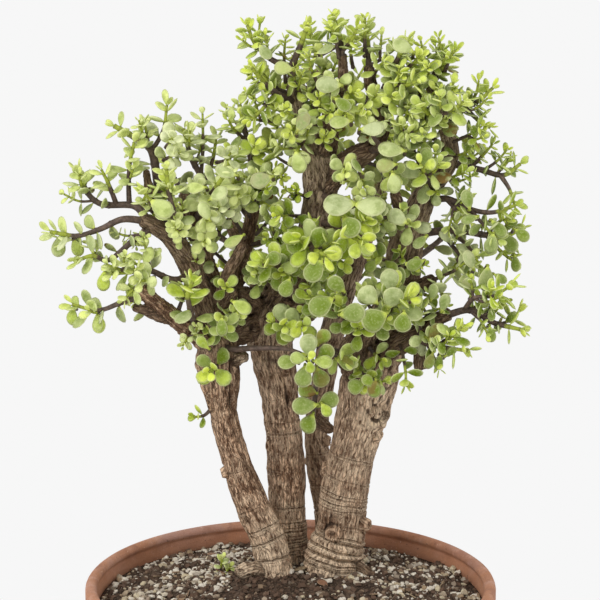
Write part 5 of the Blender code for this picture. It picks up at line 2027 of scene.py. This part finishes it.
class BONSAI_OT_litter(bpy.types.Operator):
    """Drop dried leaves and bits of twig on the soil"""

    bl_idname = "bonsai.litter"
    bl_label = "Fallen Leaves"

    def execute(self, context):
        soil = context.scene.bonsai_soil
        places, faces, form = leaf_model(context.scene.bonsai_leaf)
        chance = random.Random(5)
        bunch = Bunch()
        for x, y, size, spin, brown in FALLEN_LEAVES:
            shape = places.copy()
            shape[:, 2] = shape[:, 2] * 0.35 + 0.28 * shape[:, 0] ** 2 + 0.18 * (shape[:, 1] - 0.5) ** 2
            turn = math.radians(spin)
            across = np.array([math.cos(turn), math.sin(turn), chance.uniform(-0.2, 0.2)])
            onward = np.array([-math.sin(turn), math.cos(turn), chance.uniform(-0.1, 0.25)])
            face = np.cross(across, onward)
            ground = np.array([[x * MM, y * MM, 0.0]])
            height = soil_height(soil, np.linalg.norm(ground)) + clods(ground)[0] + 0.0016
            foot = np.array([x * MM, y * MM, height])
            shape = shape * size * MM
            placed = foot + shape[:, :1] * across + shape[:, 1:2] * onward + shape[:, 2:] * face
            bunch.add(placed, faces, form, (brown, 0, 0))
        for _ in range(TWIG_BITS):
            turn, reach = chance.uniform(0, math.tau), LITTER_REACH * math.sqrt(chance.random())
            middle = np.array([reach * math.cos(turn), reach * math.sin(turn), 0.0])
            middle[2] = soil_height(soil, reach) + clods(middle[None])[0] + 0.001
            way = np.array([math.cos(turn * 7), math.sin(turn * 7), chance.uniform(-0.25, 0.25)])
            half = chance.uniform(2, 8)
            points = [(*(middle / MM + way * step * half), chance.uniform(0.4, 0.8)) for step in (-1, 0, 1)]
            more, corners = round_skin(smooth_route(points, 2.5), 5)
            bunch.add(more, corners, (0, 0, 0), (chance.uniform(0, 0.9), 0, 0))
        stand_in_for(bunch.piece("fallen_leaves", [dry_leaf()]))
        return {"FINISHED"}


# --- Stage -------------------------------------------------------------------------------


class BONSAI_OT_stage(bpy.types.Operator):
    """Set the pale floor, the soft lamps and the camera"""

    bl_idname = "bonsai.stage"
    bl_label = "Stage"

    def execute(self, context):
        settings = context.scene.bonsai_stage
        self.floor(settings)
        middle = Vector((0.0, 0.02, 0.36))
        self.lamp("key_lamp", (-1.25, -1.55, 1.75), middle, 1.5, settings.key)
        self.lamp("fill_lamp", (1.7, -1.0, 0.9), middle, 1.6, settings.fill)
        self.sky(settings)
        data = bpy.data.cameras.new("camera")
        data.lens = settings.lens
        data.sensor_width = 36.0
        camera = bpy.data.objects.new("camera", data)
        context.scene.collection.objects.link(camera)
        camera.location = CAMERA
        camera.rotation_euler = (math.pi / 2 - settings.pitch, 0.0, 0.0)
        context.scene.camera = camera
        context.scene.view_settings.view_transform = "Standard"
        return {"FINISHED"}

    def floor(self, settings):
        """A wide pale floor that fades into the white background."""
        bpy.ops.mesh.primitive_plane_add(size=9)
        piece = added("floor")
        look = Finish("pale_floor", 0.7)
        look.colour(settings.floor)
        own = look.objects_own()
        far = look.node("ShaderNodeVectorMath", {"operation": "LENGTH"}, {0: own}, 1).over(0.17, 0.42)
        seen = look.node("ShaderNodeLightPath", output=0)
        glow = look.node("ShaderNodeEmission", inputs={"Color": BACKDROP, "Strength": 1.0})
        plain = Value(look, look.shader.outputs[0])
        surface = look.node("ShaderNodeMixShader", inputs={0: far * seen, 1: plain, 2: glow})
        look.feed(look.tree.nodes["Material Output"].inputs["Surface"], surface)
        piece.data.materials.append(look.material)

    def lamp(self, name, place, target, size, power):
        bpy.ops.object.light_add(type="AREA", location=place)
        lamp = bpy.context.active_object
        lamp.name = name
        lamp.data.size = size
        lamp.data.energy = power
        lamp.rotation_euler = (target - Vector(place)).to_track_quat("-Z", "Y").to_euler()

    def sky(self, settings):
        """Even light from all round, seen as white."""
        sky = Sky("sky")
        bpy.context.scene.world = sky.world
        light = sky.node("ShaderNodeBackground", inputs={"Strength": settings.sky})
        white = sky.node("ShaderNodeBackground", inputs={"Color": BACKDROP})
        camera, glossy, glass = (sky.node("ShaderNodeLightPath", output=number) for number in (0, 3, 6))
        seen = (camera + glossy).maths("MAXIMUM", camera + glossy, glass)
        mixed = sky.node("ShaderNodeMixShader", inputs={0: seen, 1: light, 2: white})
        sky.feed(sky.tree.nodes["World Output"].inputs["Surface"], mixed)


# --- Add-on ------------------------------------------------------------------------------


class BONSAI_PT_panel(bpy.types.Panel):
    """Lists the bonsai's pieces"""

    bl_label = "Elephant Bush Bonsai"
    bl_idname = "BONSAI_PT_panel"
    bl_space_type = "VIEW_3D"
    bl_region_type = "UI"
    bl_category = "Bonsai"

    def draw(self, context):
        for operator in OPERATORS:
            self.layout.operator(operator.bl_idname)


OPERATORS = (
    BONSAI_OT_stage,
    BONSAI_OT_bowl,
    BONSAI_OT_soil,
    BONSAI_OT_grit,
    BONSAI_OT_wood,
    BONSAI_OT_shoots,
    BONSAI_OT_sprays,
    BONSAI_OT_front_leaves,
    BONSAI_OT_seedling,
    BONSAI_OT_litter,
)
SETTINGS = {
    "bonsai_bowl": BonsaiBowlSettings,
    "bonsai_soil": BonsaiSoilSettings,
    "bonsai_wood": BonsaiWoodSettings,
    "bonsai_leaf": BonsaiLeafSettings,
    "bonsai_stage": BonsaiStageSettings,
}


def register():
    for kind in (*SETTINGS.values(), *OPERATORS, BONSAI_PT_panel):
        bpy.utils.register_class(kind)
    for name, kind in SETTINGS.items():
        setattr(bpy.types.Scene, name, PointerProperty(type=kind))


def unregister():
    for name in SETTINGS:
        delattr(bpy.types.Scene, name)
    for kind in reversed((*SETTINGS.values(), *OPERATORS, BONSAI_PT_panel)):
        bpy.utils.unregister_class(kind)


def main():
    register()
    bpy.ops.bonsai.stage()
    bpy.ops.bonsai.bowl()
    bpy.ops.bonsai.soil()
    bpy.ops.bonsai.grit()
    bpy.ops.bonsai.wood()
    bpy.ops.bonsai.shoots()
    bpy.ops.bonsai.sprays()
    bpy.ops.bonsai.front_leaves()
    bpy.ops.bonsai.seedling()
    bpy.ops.bonsai.litter()
    bpy.context.view_layer.update()


if __name__ == "__main__":
    main()
